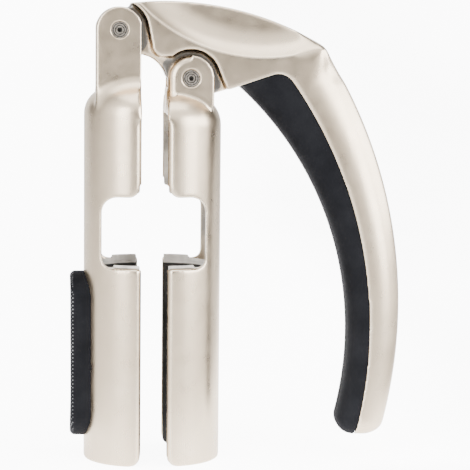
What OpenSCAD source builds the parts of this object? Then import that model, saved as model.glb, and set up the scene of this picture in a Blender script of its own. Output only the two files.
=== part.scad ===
// Champagne opener: two half-round jaws close on the cork and the bottle neck,
// worked by a curved squeeze lever that is pinned to both jaws.
// X runs right across the jaws, Y away from the viewer, Z up along the bottle.
// The origin is on the bottle axis of the fixed left jaw, level with its mouth.

/* [Jaws] */
// Outer radius of each half tube
tube_r = 20; // [19:0.1:22]
// Wall of the half tubes
wall = 2.2; // [1.8:0.1:2.6]
// Height of the neck section, from the mouth up to the window
neck_h = 70.7; // [66:0.1:78]
// Height of the window
window_h = 25; // [20:0.1:28]
// Reach of the window from the split plane into each jaw
window_reach = 13.8; // [12:0.1:15]
// Height of the cork chamber above the window
chamber_h = 28.3; // [26:0.1:32]
// Solid cap from the chamber's ceiling to the crown of the dome
cap_t = 10; // [9:0.1:12]
// Radius of the domed shoulder
dome_r = 28.3; // [26:0.1:32]
// Round between the dome and the tube
shoulder_r = 6.5; // [4:0.1:8]
// Gap between the two jaws at rest
jaw_gap = 9; // [8.5:0.1:11]
// Round of the window's upper outer corners
window_top_r = 5.6; // [3:0.1:7]
// Round of the window's lower outer corners
window_low_r = 3.2; // [2:0.1:5]
// Round of the jaw corners at the split, above the window and at the mouth
corner_r = 4.1; // [2:0.1:5]
// Chamfer along the split edges
split_chamfer = 1.5; // [0.6:0.1:1.7]

/* [Liners] */
// Thickness of the rubber liners
liner_t = 1.2; // [0.9:0.1:1.6]
// Bond line between a liner and its jaw
bond = 0.05; // [0.02:0.01:0.1]
// Setback of the liner edges from the split plane
liner_setback = 0.5; // [0.3:0.1:1]
// Height of the neck liner's lip above the window sill
lip_h = 0.9; // [0.6:0.1:1.5]
// Width of the lip over the sill
lip_w = 1; // [0.6:0.1:1.4]
// Setback of the cork liners above the window
cork_liner_set = 1.5; // [1:0.1:3]
// Depth of the ring grooves in the liners
groove_d = 0.5; // [0.3:0.05:0.7]
// Pitch of the ring grooves
groove_pitch = 1.8; // [1.5:0.1:3]
// Ring grooves in each neck liner
neck_grooves = 2; // [1:1:4]
// Ring grooves in each cork liner
cork_grooves = 4; // [1:1:6]

/* [Pivots] */
// Left pivot: distance outside the split plane
left_pivot_x = 7.6; // [7:0.1:8.2]
// Left pivot: height above the crown of the dome
left_pivot_rise = 20; // [18:0.1:24]
// Right pivot: distance outside its split plane
right_pivot_x = 8.6; // [8.2:0.1:9.5]
// Right pivot: height above the crown of the dome
right_pivot_rise = 3.2; // [2.5:0.1:4.5]
// Radius of the ears
ear_r = 8.2; // [7.6:0.1:8.6]
// Thickness of each ear
ear_t = 4.5; // [3.5:0.1:5]
// Round of the right ears' edges towards the gap
ear_round_r = 3; // [2:0.1:3.5]
// Fillet from the left ears to the dome
ear_fillet = 5; // [3:0.1:6]
// Radius of the pivot pins
pin_r = 2.4; // [2:0.1:2.8]
// Running clearance of the pins in the tongue
pin_play = 0.05; // [0.03:0.01:0.1]
// Fit of the pins in the ears
pin_fit = 0.02; // [0.01:0.01:0.03]
// Radius of the counterbore around a pin end
pin_sink_r = 3.3; // [3:0.1:3.8]
// Depth of that counterbore
pin_sink_d = 0.6; // [0.3:0.1:1]
// Radius of the dimple in a pin end
dimple_r = 1.6; // [1:0.1:1.8]
// Setback of the pin ends from the ear faces
pin_set = 0.1; // [0.05:0.05:0.2]
// Thickness of the thrust washers
washer_t = 0.5; // [0.3:0.1:0.8]
// Outer radius of the thrust washers
washer_r = 6.4; // [5:0.1:7]
// How far the lever closes from rest, in degrees
close_angle = 18; // [14:0.5:18]

/* [Lever] */
// Thickness of the lever's head
head_w = 22; // [20:0.1:26]
// How far the ears lie below the head's side faces
ear_drop = 0.5; // [0.2:0.1:0.8]
// Radius of the head's top line
head_r = 108; // [95:1:125]
// Crest of the top line, to the right of the left pivot
crest_x = 17.2; // [14:0.1:22]
// Crest of the top line, above the left pivot
crest_rise = 10.3; // [9.8:0.1:12]
// Radius of the scoop's lower edge, seen from the side
scoop_r = 59.9; // [55:0.1:65]
// Lowest point of the scoop's edge, to the right of the left pivot
scoop_x = 50.6; // [46:0.1:54]
// Lowest point of the scoop's edge, below the left pivot
scoop_drop = 9.2; // [8:0.1:11]
// Hollow radius of the scoop
scoop_hollow = 14; // [12:0.1:18]
// Width of the ridge between the two scoops
ridge_w = 10; // [8:0.1:14]
// Radius of the bosses on the tongue
boss_r = 7.9; // [7:0.1:8.2]
// Room around the bosses between the ears
boss_gap = 0.5; // [0.4:0.05:1]
// Room around the ears in the lever's pockets
pocket_gap = 2; // [1:0.05:2.2]
// Lean of the left pocket's wall, in degrees
pocket_lean = 11; // [10:0.5:20]
// Round of the head's corner beside the left pocket
web_r = 4; // [2:0.1:5]
// Level of the head's lower edge between the pockets, below the left pivot
web_drop = 9.2; // [8.5:0.1:11]
// Radius of the scallop under the tongue
scallop_r = 11; // [9:0.1:12]
// Middle of the scallop, to the left of the point midway between the pivots
scallop_x = 6.6; // [5:0.1:8]
// Middle of the scallop, below that point
scallop_drop = 11.1; // [10:0.1:13]
// Start of the head's full width, to the right of the left pivot
head_start = 3.8; // [3:0.1:5]
// Start of the head's lower edge down the right pocket's wall, from the level of the pivot
brow_drop = 8.8; // [7:0.1:9.5]
// Angle of that lower edge, in degrees
brow_angle = 18.5; // [14:0.5:22]
// Inside corner radius between that edge and the arm
brow_r = 5.5; // [4:0.1:8]

/* [Arm] */
// Reach of the arm from the left pivot
arm_reach = 102; // [96:0.5:112]
// Widest point of the arm's back, below the left pivot
back_drop = 100.3; // [96:0.1:106]
// Radius of the arm's back
back_r = 171; // [160:1:185]
// Width of the metal at its narrowest
metal_w = 11.9; // [10:0.1:14]
// Radius of the seam between metal and grip
seam_r = 154; // [146:1:165]
// Widest point of the seam, below the left pivot
seam_drop = 108; // [104:0.1:112]
// Thickness of the grip where it is thinnest
grip_w = 7.1; // [5:0.1:9]
// Radius of the grip's inner face
hold_r = 120; // [114:1:130]
// Widest point of the grip's inner face, below the left pivot
hold_drop = 109.3; // [106:0.1:113]
// Level on the grip's inner face that is across from the knee, below the left pivot
hold_knee = 24.4; // [22:0.1:27]
// End of the arm below the left pivot, before the rounded tip
arm_drop = 140; // [130:0.5:146]
// Slant of the arm's end: how much lower the back ends than the seam
back_slant = 1.5; // [0.5:0.1:2.5]
// Slant of the grip's end: how much higher the inner face ends than the seam
hold_slant = 1.1; // [0.5:0.1:2]
// Length of the rounded tip
tip_len = 6.6; // [4:0.1:9]
// Depth of the arm front to back near the tip
tip_w = 19; // [16:0.1:22]
// How far the grip's sides lie below the metal
seam_step = 0.4; // [0.2:0.1:0.8]
// Width of the channel under the grip
channel_w = 13; // [10:0.1:15]
// Depth of the channel under the grip
channel_d = 5; // [4:0.1:6]
// Fit of the insert in the channel
core_fit = 0.1; // [0.05:0.05:0.2]

/* [Palm pad] */
// Width of the pad
pad_w = 19.4; // [17:0.1:22]
// Lower end of the pad
pad_low = 8; // [5:0.1:12]
// Length of the pad
pad_l = 59.8; // [50:0.1:60]
// Height of the pad above the tube
pad_t = 5.1; // [4.2:0.1:6]
// Thickness of the pad's soft skin
skin_t = 2; // [1.5:0.1:2.6]

/* [Screws] */
// Radius of the screw shanks
screw_r = 1.45; // [1:0.05:1.6]
// Radius of the screw heads
screw_head_r = 2.5; // [2:0.05:2.8]
// Height of the screw heads
screw_head_h = 1.1; // [0.8:0.05:1.3]
// Fit around the screws
screw_fit = 0.05; // [0.03:0.01:0.1]
// Spacing of the pad screws
pad_screw_gap = 32; // [24:0.5:36]
// Depth of the screw heads below the face of the insert
screw_rest = 0.15; // [0.1:0.05:0.3]
// Bite of the insert's screws in the lever
grip_screw_bite = 3; // [2:0.1:3.5]

/* [Hidden] */
$fn = 96;
big = 400;
// Overlap of a cut past a face
lap = 1;
// Extra radius of a round, so that it crosses its neighbours at a slight angle
blend_bite = 0.06;
// Setback of the ears' blend inside the edge of the dome
blend_trim = 0.4;
// Depth of the pockets' floors below the faces of the tongue
floor_relief = 0.1;

nickel = [0.80, 0.77, 0.72];
steel = [0.62, 0.61, 0.60];
soft_black = [0.13, 0.13, 0.15];
hard_black = [0.20, 0.20, 0.22];
liner_grey = [0.25, 0.25, 0.26];
nylon = [0.90, 0.89, 0.84];

// Levels of the jaws
sill_z = neck_h;
lintel_z = sill_z + window_h;
ceiling_z = lintel_z + chamber_h;
crown_z = ceiling_z + cap_t;
bore_r = tube_r - wall;
liner_out = bore_r - bond;
liner_in = liner_out - liner_t;

// Dome and shoulder round, tangent to each other and to the tube
dome_z = crown_z - dome_r;
shoulder_z = dome_z + sqrt(pow(dome_r - shoulder_r, 2) - pow(tube_r - shoulder_r, 2));
tangent_x = (tube_r - shoulder_r) * dome_r / (dome_r - shoulder_r);

// Pivots, as [x, z], and the layers across the head
left_pivot = [-left_pivot_x, crown_z + left_pivot_rise];
right_pivot = [jaw_gap + right_pivot_x, crown_z + right_pivot_rise];
ear_root_z = ceiling_z + cap_t / 4;
ear_face = head_w / 2 - ear_drop;
ear_in = ear_face - ear_t;
tongue_half = ear_in - washer_t;
pocket_r = ear_r + pocket_gap;
// The straight walls of the pockets cross their round part at a slight angle
pocket_half = pocket_r - blend_bite;
pocket_angle = close_angle + 5;
scallop_c = (left_pivot + right_pivot) / 2 - [scallop_x, scallop_drop];

// Arcs of the lever, as centres seen from the front
crest_c = left_pivot + [crest_x, crest_rise - head_r];
scoop_c = left_pivot + [scoop_x, scoop_r - scoop_drop];
back_c = left_pivot + [arm_reach - back_r, -back_drop];
seam_c = left_pivot + [arm_reach - metal_w - seam_r, -seam_drop];
hold_c = left_pivot + [arm_reach - metal_w - grip_w - hold_r, -hold_drop];

function unit(v) = v / norm(v);
function turn(v, a) = [v[0] * cos(a) - v[1] * sin(a), v[0] * sin(a) + v[1] * cos(a)];
function mix(a, b, t) = a + (b - a) * t;
function arc_angle(c, p) = atan2(p[1] - c[1], p[0] - c[0]);
function arc_at_z(c, r, z) = [c[0] + sqrt(r * r - pow(z - c[1], 2)), z];
// How far along a ray from p in direction e the circle of radius r about c lies
function ray_hit(p, e, c, r) =
    let (g = p - c, b = g * e)
    -b + sqrt(b * b - g * g + r * r);
// Upper right point where two circles meet, the first one to the right of the second
function circles_meet(c, r, d, q) =
    let (v = d - c, a = (r * r - q * q + v * v) / (2 * norm(v)), h = sqrt(r * r - a * a))
    c + unit(v) * a - turn(unit(v), 90) * h;

// Lower edge of the head to the right of the right pocket, called the brow
pocket_wall = turn([1, 0], pocket_angle);
brow_start = right_pivot + pocket_wall * pocket_half + turn([0, -brow_drop], pocket_angle);
brow_dir = turn([1, 0], brow_angle);
brow_down = turn(brow_dir, -90);
brow_in = brow_start + brow_down * brow_r;
brow_c = brow_in + brow_dir * ray_hit(brow_in, brow_dir, seam_c, seam_r - brow_r);
brow_end = brow_c - brow_down * brow_r;
grip_nose = brow_start + brow_dir * ray_hit(brow_start, brow_dir, hold_c, hold_r);

// Stations down the arm: heights on the back, the seam and the grip's inner face
arm_inset = 0.05;
arm_steps = 26;
tip_steps = 6;
nose_steps = 8;
knee_steps = 6;
knee = circles_meet(crest_c, head_r, back_c, back_r);
seam_top = seam_c[1] + seam_r * unit(brow_c - seam_c)[1];
back_top = knee[1];
hold_top = left_pivot[1] - hold_knee;
seam_end = left_pivot[1] - arm_drop;
back_end = seam_end - back_slant;
hold_end = seam_end + hold_slant;
function seam_at(t) = arc_at_z(seam_c, seam_r, mix(seam_top, seam_end, t));
function back_at(t) = arc_at_z(back_c, back_r, mix(back_top, back_end, max(0, t)));
function hold_at(t) = arc_at_z(hold_c, hold_r, mix(hold_top, hold_end, t));
function half_depth(t) = mix(head_w / 2 - arm_inset, tip_w / 2, max(0, t));
tip_dir = unit(seam_at(1) - seam_at(0.95));

// Seam points from the end of the brow round the inside corner to the arm
knee_from = arc_angle(brow_c, brow_end);
knee_to = arc_angle(seam_c, brow_c);
knee_path = [for (i = [0:knee_steps])
    brow_c + turn([brow_r, 0], mix(knee_from, knee_to, i / knee_steps))];

// Rounded sections: 0 at one side of the seam, 1 at the other
ring_steps = 20;
function power_arc(c, n) = sign(c) * pow(abs(c), 2 / n);
// A ring across the arm from the seam point m to the edge point e, half depth d
function bow_ring(m, e, d, n, k) =
    [for (i = [0:ring_steps])
        let (a = 180 * i / ring_steps,
             p = m + (e - m) * k * power_arc(sin(a), n))
        [p[0], d * power_arc(cos(a), n), p[1]]];
// The channel's corners, which close the metal's ring, with lips that lean in a little
lip_relief = 0.06;
function channel_ring(m, e, k) =
    [for (c = [[-1, lip_relief], [-1, channel_d], [1, channel_d], [1, lip_relief]])
        let (p = m + unit(e - m) * c[1] * k)
        [p[0], c[0] * channel_w / 2 * k, p[1]]];
// Roundness of the metal: nearly square at the knee, round from a third of the way down
knee_power = 20;
back_power = 2.4;
round_from = 0.42;
function metal_power(t) =
    back_power + (knee_power - back_power) * pow(max(0, 1 - max(0, t) / round_from), 3);
grip_power = 3.2;
// Last station of the tip, as a part of its length
tip_close = 0.98;
function tip_part(j) = tip_close * j / tip_steps;
function tip_scale(j) = sqrt(1 - pow(tip_part(j), 2));

// The arm starts a little inside the head
arm_start = -0.03;
metal_rings = concat(
    [for (i = [0:arm_steps])
        let (t = mix(arm_start, 1, i / arm_steps))
        concat(bow_ring(seam_at(t), back_at(t), half_depth(t), metal_power(t), 1),
               channel_ring(seam_at(t), back_at(t), 1))],
    [for (j = [1:tip_steps])
        let (k = tip_scale(j), m = seam_at(1) + tip_dir * tip_len * tip_part(j),
             e = m + back_at(1) - seam_at(1))
        concat(bow_ring(m, e, half_depth(1) * k, metal_power(1), k),
               channel_ring(m, e, k))]);

// Grip stations: along the brow, round the corner, down the arm and over the tip
nose_from = arc_angle(hold_c, grip_nose);
nose_to = arc_angle(hold_c, hold_at(0));
nose_seam = concat([for (i = [1:nose_steps]) mix(grip_nose, brow_end, i / nose_steps)],
                   [for (i = [1:knee_steps - 1]) knee_path[i]]);
nose_count = len(nose_seam);
grip_rings = concat(
    [for (i = [0:nose_count - 1])
        let (m = nose_seam[i],
             e = hold_c + turn([hold_r, 0], mix(nose_from, nose_to, (i + 1) / (nose_count + 1))))
        bow_ring(m, e, half_depth(0) - seam_step, grip_power, 1)],
    [for (i = [0:arm_steps])
        let (t = i / arm_steps)
        bow_ring(seam_at(t), hold_at(t), half_depth(t) - seam_step, grip_power, 1)],
    [for (j = [1:tip_steps])
        let (k = tip_scale(j), m = seam_at(1) + tip_dir * tip_len * tip_part(j),
             e = m + hold_at(1) - seam_at(1))
        bow_ring(m, e, (half_depth(1) - seam_step) * k, grip_power, k)]);

// The insert's ends and its screws, as stations of the arm
core_steps = 20;
core_from = 0.11;
core_to = 0.97;
grip_screw_t = [0.24, 0.86];
core_rings = [for (i = [0:core_steps])
    let (t = mix(core_from, core_to, i / core_steps), m = seam_at(t), u = unit(back_at(t) - m))
    [for (c = [[-1, core_fit], [-1, channel_d - core_fit], [1, channel_d - core_fit], [1, core_fit]])
        let (p = m + u * c[1])
        [p[0], c[0] * (channel_w / 2 - core_fit), p[1]]]];

// Skin over a list of rings with the same number of points, closed at both ends
module loft(rings) {
    n = len(rings[0]);
    last = len(rings) - 1;
    points = [for (r = rings) each r];
    sides = [for (i = [0:last - 1], j = [0:n - 1])
        let (a = i * n + j, b = i * n + (j + 1) % n)
        each [[a, a + n, b], [b, a + n, b + n]]];
    caps = [[for (j = [0:n - 1]) j], [for (j = [n - 1:-1:0]) last * n + j]];
    polyhedron(points, concat(sides, caps));
}

// A flat outline in the X-Z plane, thickened about the middle plane
module slab(half) {
    rotate([90, 0, 0])
        linear_extrude(2 * half, center = true)
            children();
}

// A round bar along Y through a point seen from the front
module cross_bar(p, r, half) {
    translate([p[0], 0, p[1]])
        rotate([90, 0, 0])
            cylinder(r = r, h = 2 * half, center = true);
}

// Both sides of what is drawn for the front
module front_and_back() {
    children();
    mirror([0, 1, 0])
        children();
}

// Outline of the domed tube, to one side of its axis
module dome_outline() {
    square([tube_r, shoulder_z]);
    translate([tube_r - shoulder_r, shoulder_z])
        circle(shoulder_r);
    intersection() {
        translate([0, dome_z])
            circle(dome_r);
        square([tangent_x, crown_z]);
    }
}

// Everything on one side of the split plane, side is -1 or 1
module half_space(side, setback = 0) {
    translate([side < 0 ? -big - setback : setback, -big / 2, -big / 2])
        cube([big, big, big]);
}

// Square corner less its round, for cutting a corner at the origin
module corner_round(r) {
    difference() {
        translate([-lap, -lap])
            square(r + lap);
        translate([r, r])
            circle(r);
    }
}

// Window of one jaw, seen from the front, for the right jaw
module window_outline() {
    difference() {
        translate([-lap, sill_z])
            square([window_reach + lap, window_h]);
        translate([window_reach, lintel_z])
            rotate(180)
                corner_round(window_top_r);
        translate([window_reach, sill_z])
            rotate(90)
                corner_round(window_low_r);
    }
    translate([0, lintel_z])
        corner_round(corner_r);
    corner_round(corner_r);
}

// Ear outline, seen from the front
module ear_outline(p) {
    translate(p)
        circle(ear_r);
    translate([p[0] - ear_r, ear_root_z])
        square([2 * ear_r, p[1] - ear_root_z]);
}

// Pair of ears
module ears(p) {
    front_and_back()
        translate([0, -(ear_face + ear_in) / 2, 0])
            slab(ear_t / 2)
                ear_outline(p);
}

// Hollow blend from the ear's face to the dome
module ear_blend(p) {
    c = [sqrt(pow(dome_r + ear_fillet, 2) - pow(ear_face + ear_fillet, 2)), ear_face + ear_fillet];
    foot = c * dome_r / (dome_r + ear_fillet);
    root = sqrt(dome_r * dome_r - ear_face * ear_face) - lap;
    intersection() {
        translate([0, 0, dome_z])
            rotate([90, 0, 0])
                rotate_extrude()
                    difference() {
                        polygon([[root, ear_face - lap], [c[0], ear_face - lap], c, foot,
                                 foot * (1 - lap / dome_r)]);
                        translate(c)
                            circle(ear_fillet + blend_bite);
                    }
        translate([p[0] - ear_r, -big / 2, ceiling_z])
            cube([2 * ear_r, big, big]);
        cylinder(r = tangent_x - blend_trim, h = big);
    }
}

// What the round on the gap side takes off an ear: a quarter turn and a straight run down
module ear_round(p) {
    translate([p[0], 0, p[1]])
        rotate([90, 0, 0]) {
            rotate([0, 0, 90])
                rotate_extrude(angle = 90)
                    translate([ear_r, ear_face])
                        rotate(180)
                            corner_round(ear_round_r);
            translate([-ear_r, 0, ear_face])
                rotate([90, 0, 0])
                    linear_extrude(p[1] - ear_root_z)
                        mirror([0, 1])
                            corner_round(ear_round_r);
        }
}

// Room between the right ears for the tongue's lower edge once the lever is closed
tongue_edge = unit(brow_start - right_pivot + [0, boss_r]);
tongue_low = boss_r * tongue_edge[0] + 2 * boss_gap;
module tongue_room(p) {
    translate([p[0], -ear_in, p[1] - tongue_low])
        cube([2 * ear_r, 2 * ear_in, ear_r]);
}

// One jaw without its pad screws, in its own frame with the axis at the origin
module jaw(side, p) {
    intersection() {
        difference() {
            union() {
                rotate_extrude()
                    dome_outline();
                ears(p);
                if (side < 0) front_and_back() ear_blend(p);
            }
            if (side > 0) front_and_back() ear_round(p);
            translate([0, 0, -lap])
                cylinder(r = bore_r, h = ceiling_z + lap);
            slab(big / 2)
                mirror([side < 0 ? 1 : 0, 0])
                    window_outline();
            cross_bar(p, boss_r + boss_gap, ear_in);
            if (side > 0) tongue_room(p);
            cross_bar(p, pin_r + pin_fit, big / 2);
            front_and_back()
                translate([0, -ear_face, 0])
                    cross_bar(p, pin_sink_r, pin_sink_d);
            for (y = [-1, 1])
                translate([0, y * tube_r, 0])
                    rotate(45)
                        cube([split_chamfer * sqrt(2), split_chamfer * sqrt(2), 2 * shoulder_z],
                             center = true);
        }
        half_space(side);
    }
}

// Places of the pad screws
pad_mid = pad_low + pad_l / 2;
pad_screw_z = [pad_mid - pad_screw_gap / 2, pad_mid + pad_screw_gap / 2];
pad_face = tube_r + pad_t;
screw_seat = bore_r + screw_head_h + screw_fit;

// Bar along X, from x0 outwards to x1 on the left
module left_bar(z, r, x0, x1) {
    translate([-x1, 0, z])
        rotate([0, 90, 0])
            cylinder(r = r, h = x1 - x0);
}

module left_shell() {
    color(nickel)
        difference() {
            jaw(-1, left_pivot);
            for (z = pad_screw_z) {
                left_bar(z, screw_r + screw_fit, 0, pad_face);
                left_bar(z, screw_head_r + screw_fit, 0, screw_seat);
            }
        }
}

module right_shell() {
    color(nickel)
        translate([jaw_gap, 0, 0])
            jaw(1, right_pivot - [jaw_gap, 0]);
}

// Space for an ear in the lever with a wall that leans out, seen from the front
module ear_room(p, lean) {
    run = 3 * ear_r;
    low = turn([0, -run], lean);
    translate(p) {
        circle(pocket_r);
        rotate(lean)
            translate([-pocket_half, -run])
                square([2 * pocket_half, run]);
        translate([-pocket_half, -run])
            square([pocket_half, run]);
        polygon([[0, 0], [0, -run], low]);
    }
}

// What a round of radius r takes off a corner at k between the directions u and v
module round_off(k, u, v, r) {
    half = acos(u * v) / 2;
    c = k + unit(u + v) * r / sin(half);
    out = unit(u + v) * lap;
    difference() {
        polygon([c, k + u * r / tan(half), k + u * r / tan(half) - out, k - out,
                 k + v * r / tan(half) - out, k + v * r / tan(half)]);
        translate(c)
            circle(r + blend_bite);
    }
}

// Corner of the head between the left pocket's wall and its level lower edge
web_z = left_pivot[1] - web_drop;
wall_out = turn([1, 0], pocket_lean);
wall_up = turn(wall_out, 90);
wall_top = left_pivot + wall_out * pocket_half;
web_corner = wall_top - wall_up * (wall_top[1] - web_z) / wall_up[1];

// Head of the lever, seen from the front, without pockets
module head_outline() {
    nose_x = left_pivot[0] + head_start;
    intersection() {
        translate(crest_c)
            circle(head_r, $fn = 192);
        translate(back_c)
            circle(back_r, $fn = 192);
        polygon(concat(
            [left_pivot, [nose_x, left_pivot[1]], [nose_x, crest_c[1] + head_r + lap],
             knee + [0, head_r], knee + unit(knee - seam_at(0)) * head_w],
            [for (i = [knee_steps:-1:0]) knee_path[i]],
            [brow_start, right_pivot, [right_pivot[0] - pocket_r / 2, web_z],
             [left_pivot[0] + web_drop, web_z]]));
    }
}

// Tongue between the ears, seen from the front
module tongue_outline() {
    difference() {
        union() {
            translate(left_pivot)
                circle(boss_r);
            translate(right_pivot)
                circle(boss_r);
            polygon([left_pivot + [0, boss_r], left_pivot + [2 * ear_r, ear_r], brow_start,
                     right_pivot - [0, boss_r], right_pivot - [boss_r, 0], left_pivot + [0, -boss_r]]);
        }
        translate(scallop_c)
            circle(scallop_r);
    }
}

// Scoop on the front of the head
module scoop() {
    hollow_y = ridge_w / 2 + scoop_hollow;
    hollow_x = scoop_r - sqrt(scoop_hollow * scoop_hollow - pow(hollow_y - head_w / 2, 2));
    translate([scoop_c[0], 0, scoop_c[1]])
        rotate([90, 0, 0])
            rotate_extrude() {
                translate([0, ridge_w / 2])
                    square([hollow_x, 2 * scoop_hollow]);
                translate([hollow_x, hollow_y])
                    intersection() {
                        circle(scoop_hollow);
                        translate([-lap, -scoop_hollow])
                            square(2 * scoop_hollow);
                    }
            }
}

// Place of a screw through the insert into the lever, square to the seam at station t of the arm
module at_station(t) {
    m = seam_at(t);
    u = unit(m - seam_c);
    translate([m[0], 0, m[1]])
        rotate([0, 90 - atan2(u[1], u[0]), 0])
            children();
}

module lever() {
    color(nickel)
        difference() {
            union() {
                difference() {
                    slab(head_w / 2)
                        head_outline();
                    front_and_back()
                        scoop();
                    front_and_back()
                        translate([0, floor_relief - tongue_half - head_w / 2, 0])
                            slab(head_w / 2) {
                                ear_room(left_pivot, pocket_lean);
                                ear_room(right_pivot, pocket_angle);
                                round_off(web_corner, wall_up, [1, 0], web_r);
                            }
                }
                slab(tongue_half)
                    tongue_outline();
                loft(metal_rings);
            }
            cross_bar(left_pivot, pin_r + pin_play, big / 2);
            cross_bar(right_pivot, pin_r + pin_play, big / 2);
            for (t = grip_screw_t)
                at_station(t)
                    cylinder(r = screw_r + screw_fit, h = channel_d + grip_screw_bite + screw_rest);
        }
}

module lever_grip() {
    color(soft_black)
        loft(grip_rings);
}

module grip_core() {
    color(hard_black)
        difference() {
            loft(core_rings);
            for (t = grip_screw_t)
                at_station(t) {
                    translate([0, 0, -lap])
                        cylinder(r = screw_r + screw_fit, h = channel_d + 2 * lap);
                    translate([0, 0, -lap])
                        cylinder(r = screw_head_r + screw_fit, h = lap + screw_rest + screw_head_h);
                }
        }
}

module grip_screws() {
    color(steel)
        for (t = grip_screw_t)
            at_station(t)
                translate([0, 0, screw_rest]) {
                    cylinder(r = screw_head_r, h = screw_head_h);
                    cylinder(r = screw_r, h = channel_d + grip_screw_bite - screw_rest);
                }
}

// Pad outline seen from the left, shrunk by an inset
module pad_outline(inset) {
    r = pad_w / 2 - inset;
    for (z = [pad_low + pad_w / 2, pad_low + pad_l - pad_w / 2])
        translate([0, z])
            circle(r);
    translate([-r, pad_low + pad_w / 2])
        square([2 * r, pad_l - pad_w]);
}

// Block on the left of the tube, with the pad's outline, out to a given x
module pad_block(inset, reach) {
    difference() {
        translate([-reach, 0, 0])
            rotate([90, 0, 90])
                linear_extrude(reach)
                    pad_outline(inset);
        translate([0, 0, -lap])
            cylinder(r = tube_r + bond, h = crown_z);
        translate([0, -big / 2, -lap])
            cube([big, big, big]);
    }
}

module palm_pad() {
    color(soft_black)
        difference() {
            pad_block(0, pad_face);
            pad_block(skin_t, pad_face - skin_t);
        }
}

module palm_pad_core() {
    color(hard_black)
        difference() {
            pad_block(skin_t + core_fit, pad_face - skin_t - core_fit);
            for (z = pad_screw_z)
                left_bar(z, screw_r + screw_fit, 0, pad_face);
        }
}

module palm_pad_screws() {
    color(steel)
        for (z = pad_screw_z) {
            left_bar(z, screw_r, screw_seat - screw_head_h / 2, pad_face - skin_t - 2 * core_fit);
            left_bar(z, screw_head_r, screw_seat - screw_head_h, screw_seat);
        }
}

// Rivet with dimpled ends
module pivot_pin(p) {
    color(steel)
        difference() {
            cross_bar(p, pin_r, ear_face - pin_set);
            front_and_back()
                translate([0, -ear_face, 0])
                    cross_bar(p, dimple_r, pin_sink_d);
        }
}

module left_pivot_pin() {
    pivot_pin(left_pivot);
}

module right_pivot_pin() {
    pivot_pin(right_pivot);
}

// Washers on both sides of the tongue
module thrust_washers(p) {
    color(nylon)
        front_and_back()
            translate([0, -(tongue_half + ear_in) / 2, 0])
                difference() {
                    cross_bar(p, washer_r, washer_t / 2);
                    cross_bar(p, pin_r + pin_play, washer_t);
                }
}

module left_thrust_washers() {
    thrust_washers(left_pivot);
}

module right_thrust_washers() {
    thrust_washers(right_pivot);
}

// Half sleeve between two levels with a few ring grooves below its top
module half_sleeve(side, z0, z1, grooves) {
    intersection() {
        difference() {
            translate([0, 0, z0])
                cylinder(r = liner_out, h = z1 - z0);
            translate([0, 0, z0 - lap])
                cylinder(r = liner_in, h = z1 - z0 + 2 * lap);
            for (i = [1:grooves])
                translate([0, 0, z1 - i * groove_pitch])
                    cylinder(r = liner_in + groove_d, h = groove_pitch / 2);
            slab(big / 2)
                mirror([side < 0 ? 1 : 0, 0])
                    window_outline();
        }
        half_space(side, liner_setback);
    }
}

// Lip of the neck liner over the window sill
module sill_lip(side) {
    intersection() {
        translate([0, 0, sill_z])
            difference() {
                cylinder(r = bore_r + lip_w, h = lip_h);
                translate([0, 0, -lap])
                    cylinder(r = liner_in, h = lip_h + 2 * lap);
            }
        half_space(side, liner_setback);
        half_space(-side, lap + window_low_r - window_reach);
    }
}

module neck_liner(side) {
    color(liner_grey) {
        half_sleeve(side, 0, sill_z, neck_grooves);
        sill_lip(side);
    }
}

module left_neck_liner() {
    neck_liner(-1);
}

module right_neck_liner() {
    translate([jaw_gap, 0, 0])
        neck_liner(1);
}

module cork_liner(side) {
    color(liner_grey)
        half_sleeve(side, lintel_z + cork_liner_set, ceiling_z - bond, cork_grooves);
}

module left_cork_liner() {
    cork_liner(-1);
}

module right_cork_liner() {
    translate([jaw_gap, 0, 0])
        cork_liner(1);
}

left_shell();
right_shell();
lever();
lever_grip();
grip_core();
grip_screws();
palm_pad();
palm_pad_core();
palm_pad_screws();
left_pivot_pin();
right_pivot_pin();
left_thrust_washers();
right_thrust_washers();
left_neck_liner();
right_neck_liner();
left_cork_liner();
right_cork_liner();
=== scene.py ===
"""Dresses the champagne opener: nickel castings, riveted pins, rubber grip, palm pad and liners.

Sizes are in millimetres, as in the part's source, with X to the right, Y away from the viewer and Z up.
Blender's own coordinates are in metres.
"""

import logging
import math
from collections.abc import Callable
from dataclasses import dataclass, field
from enum import Enum
from typing import Protocol

import bmesh
import bpy
import numpy as np
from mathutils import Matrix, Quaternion, Vector


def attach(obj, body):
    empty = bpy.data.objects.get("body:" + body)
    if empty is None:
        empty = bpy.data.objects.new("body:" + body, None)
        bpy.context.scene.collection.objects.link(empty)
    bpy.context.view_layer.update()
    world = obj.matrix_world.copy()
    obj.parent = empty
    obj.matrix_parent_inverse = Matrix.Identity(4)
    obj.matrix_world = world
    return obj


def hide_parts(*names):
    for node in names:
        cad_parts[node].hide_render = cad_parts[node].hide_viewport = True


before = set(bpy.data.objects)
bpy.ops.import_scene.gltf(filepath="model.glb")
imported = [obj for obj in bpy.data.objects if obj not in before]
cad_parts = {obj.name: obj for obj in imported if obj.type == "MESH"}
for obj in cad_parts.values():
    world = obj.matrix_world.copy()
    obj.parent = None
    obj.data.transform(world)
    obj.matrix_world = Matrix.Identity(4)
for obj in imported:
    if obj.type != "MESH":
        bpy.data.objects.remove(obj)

Array = np.ndarray
Seated = tuple[Array, Array]
Pair = tuple[float, float]
Triple = tuple[float, float, float]
Piece = bpy.types.Object
Material = bpy.types.Material
Socket = bpy.types.NodeSocket
Element = bmesh.types.BMFace | bmesh.types.BMEdge | bmesh.types.BMVert

MM = 0.001
TINY = 1e-6  # keeps divisors off zero
log = logging.getLogger("opener")


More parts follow.
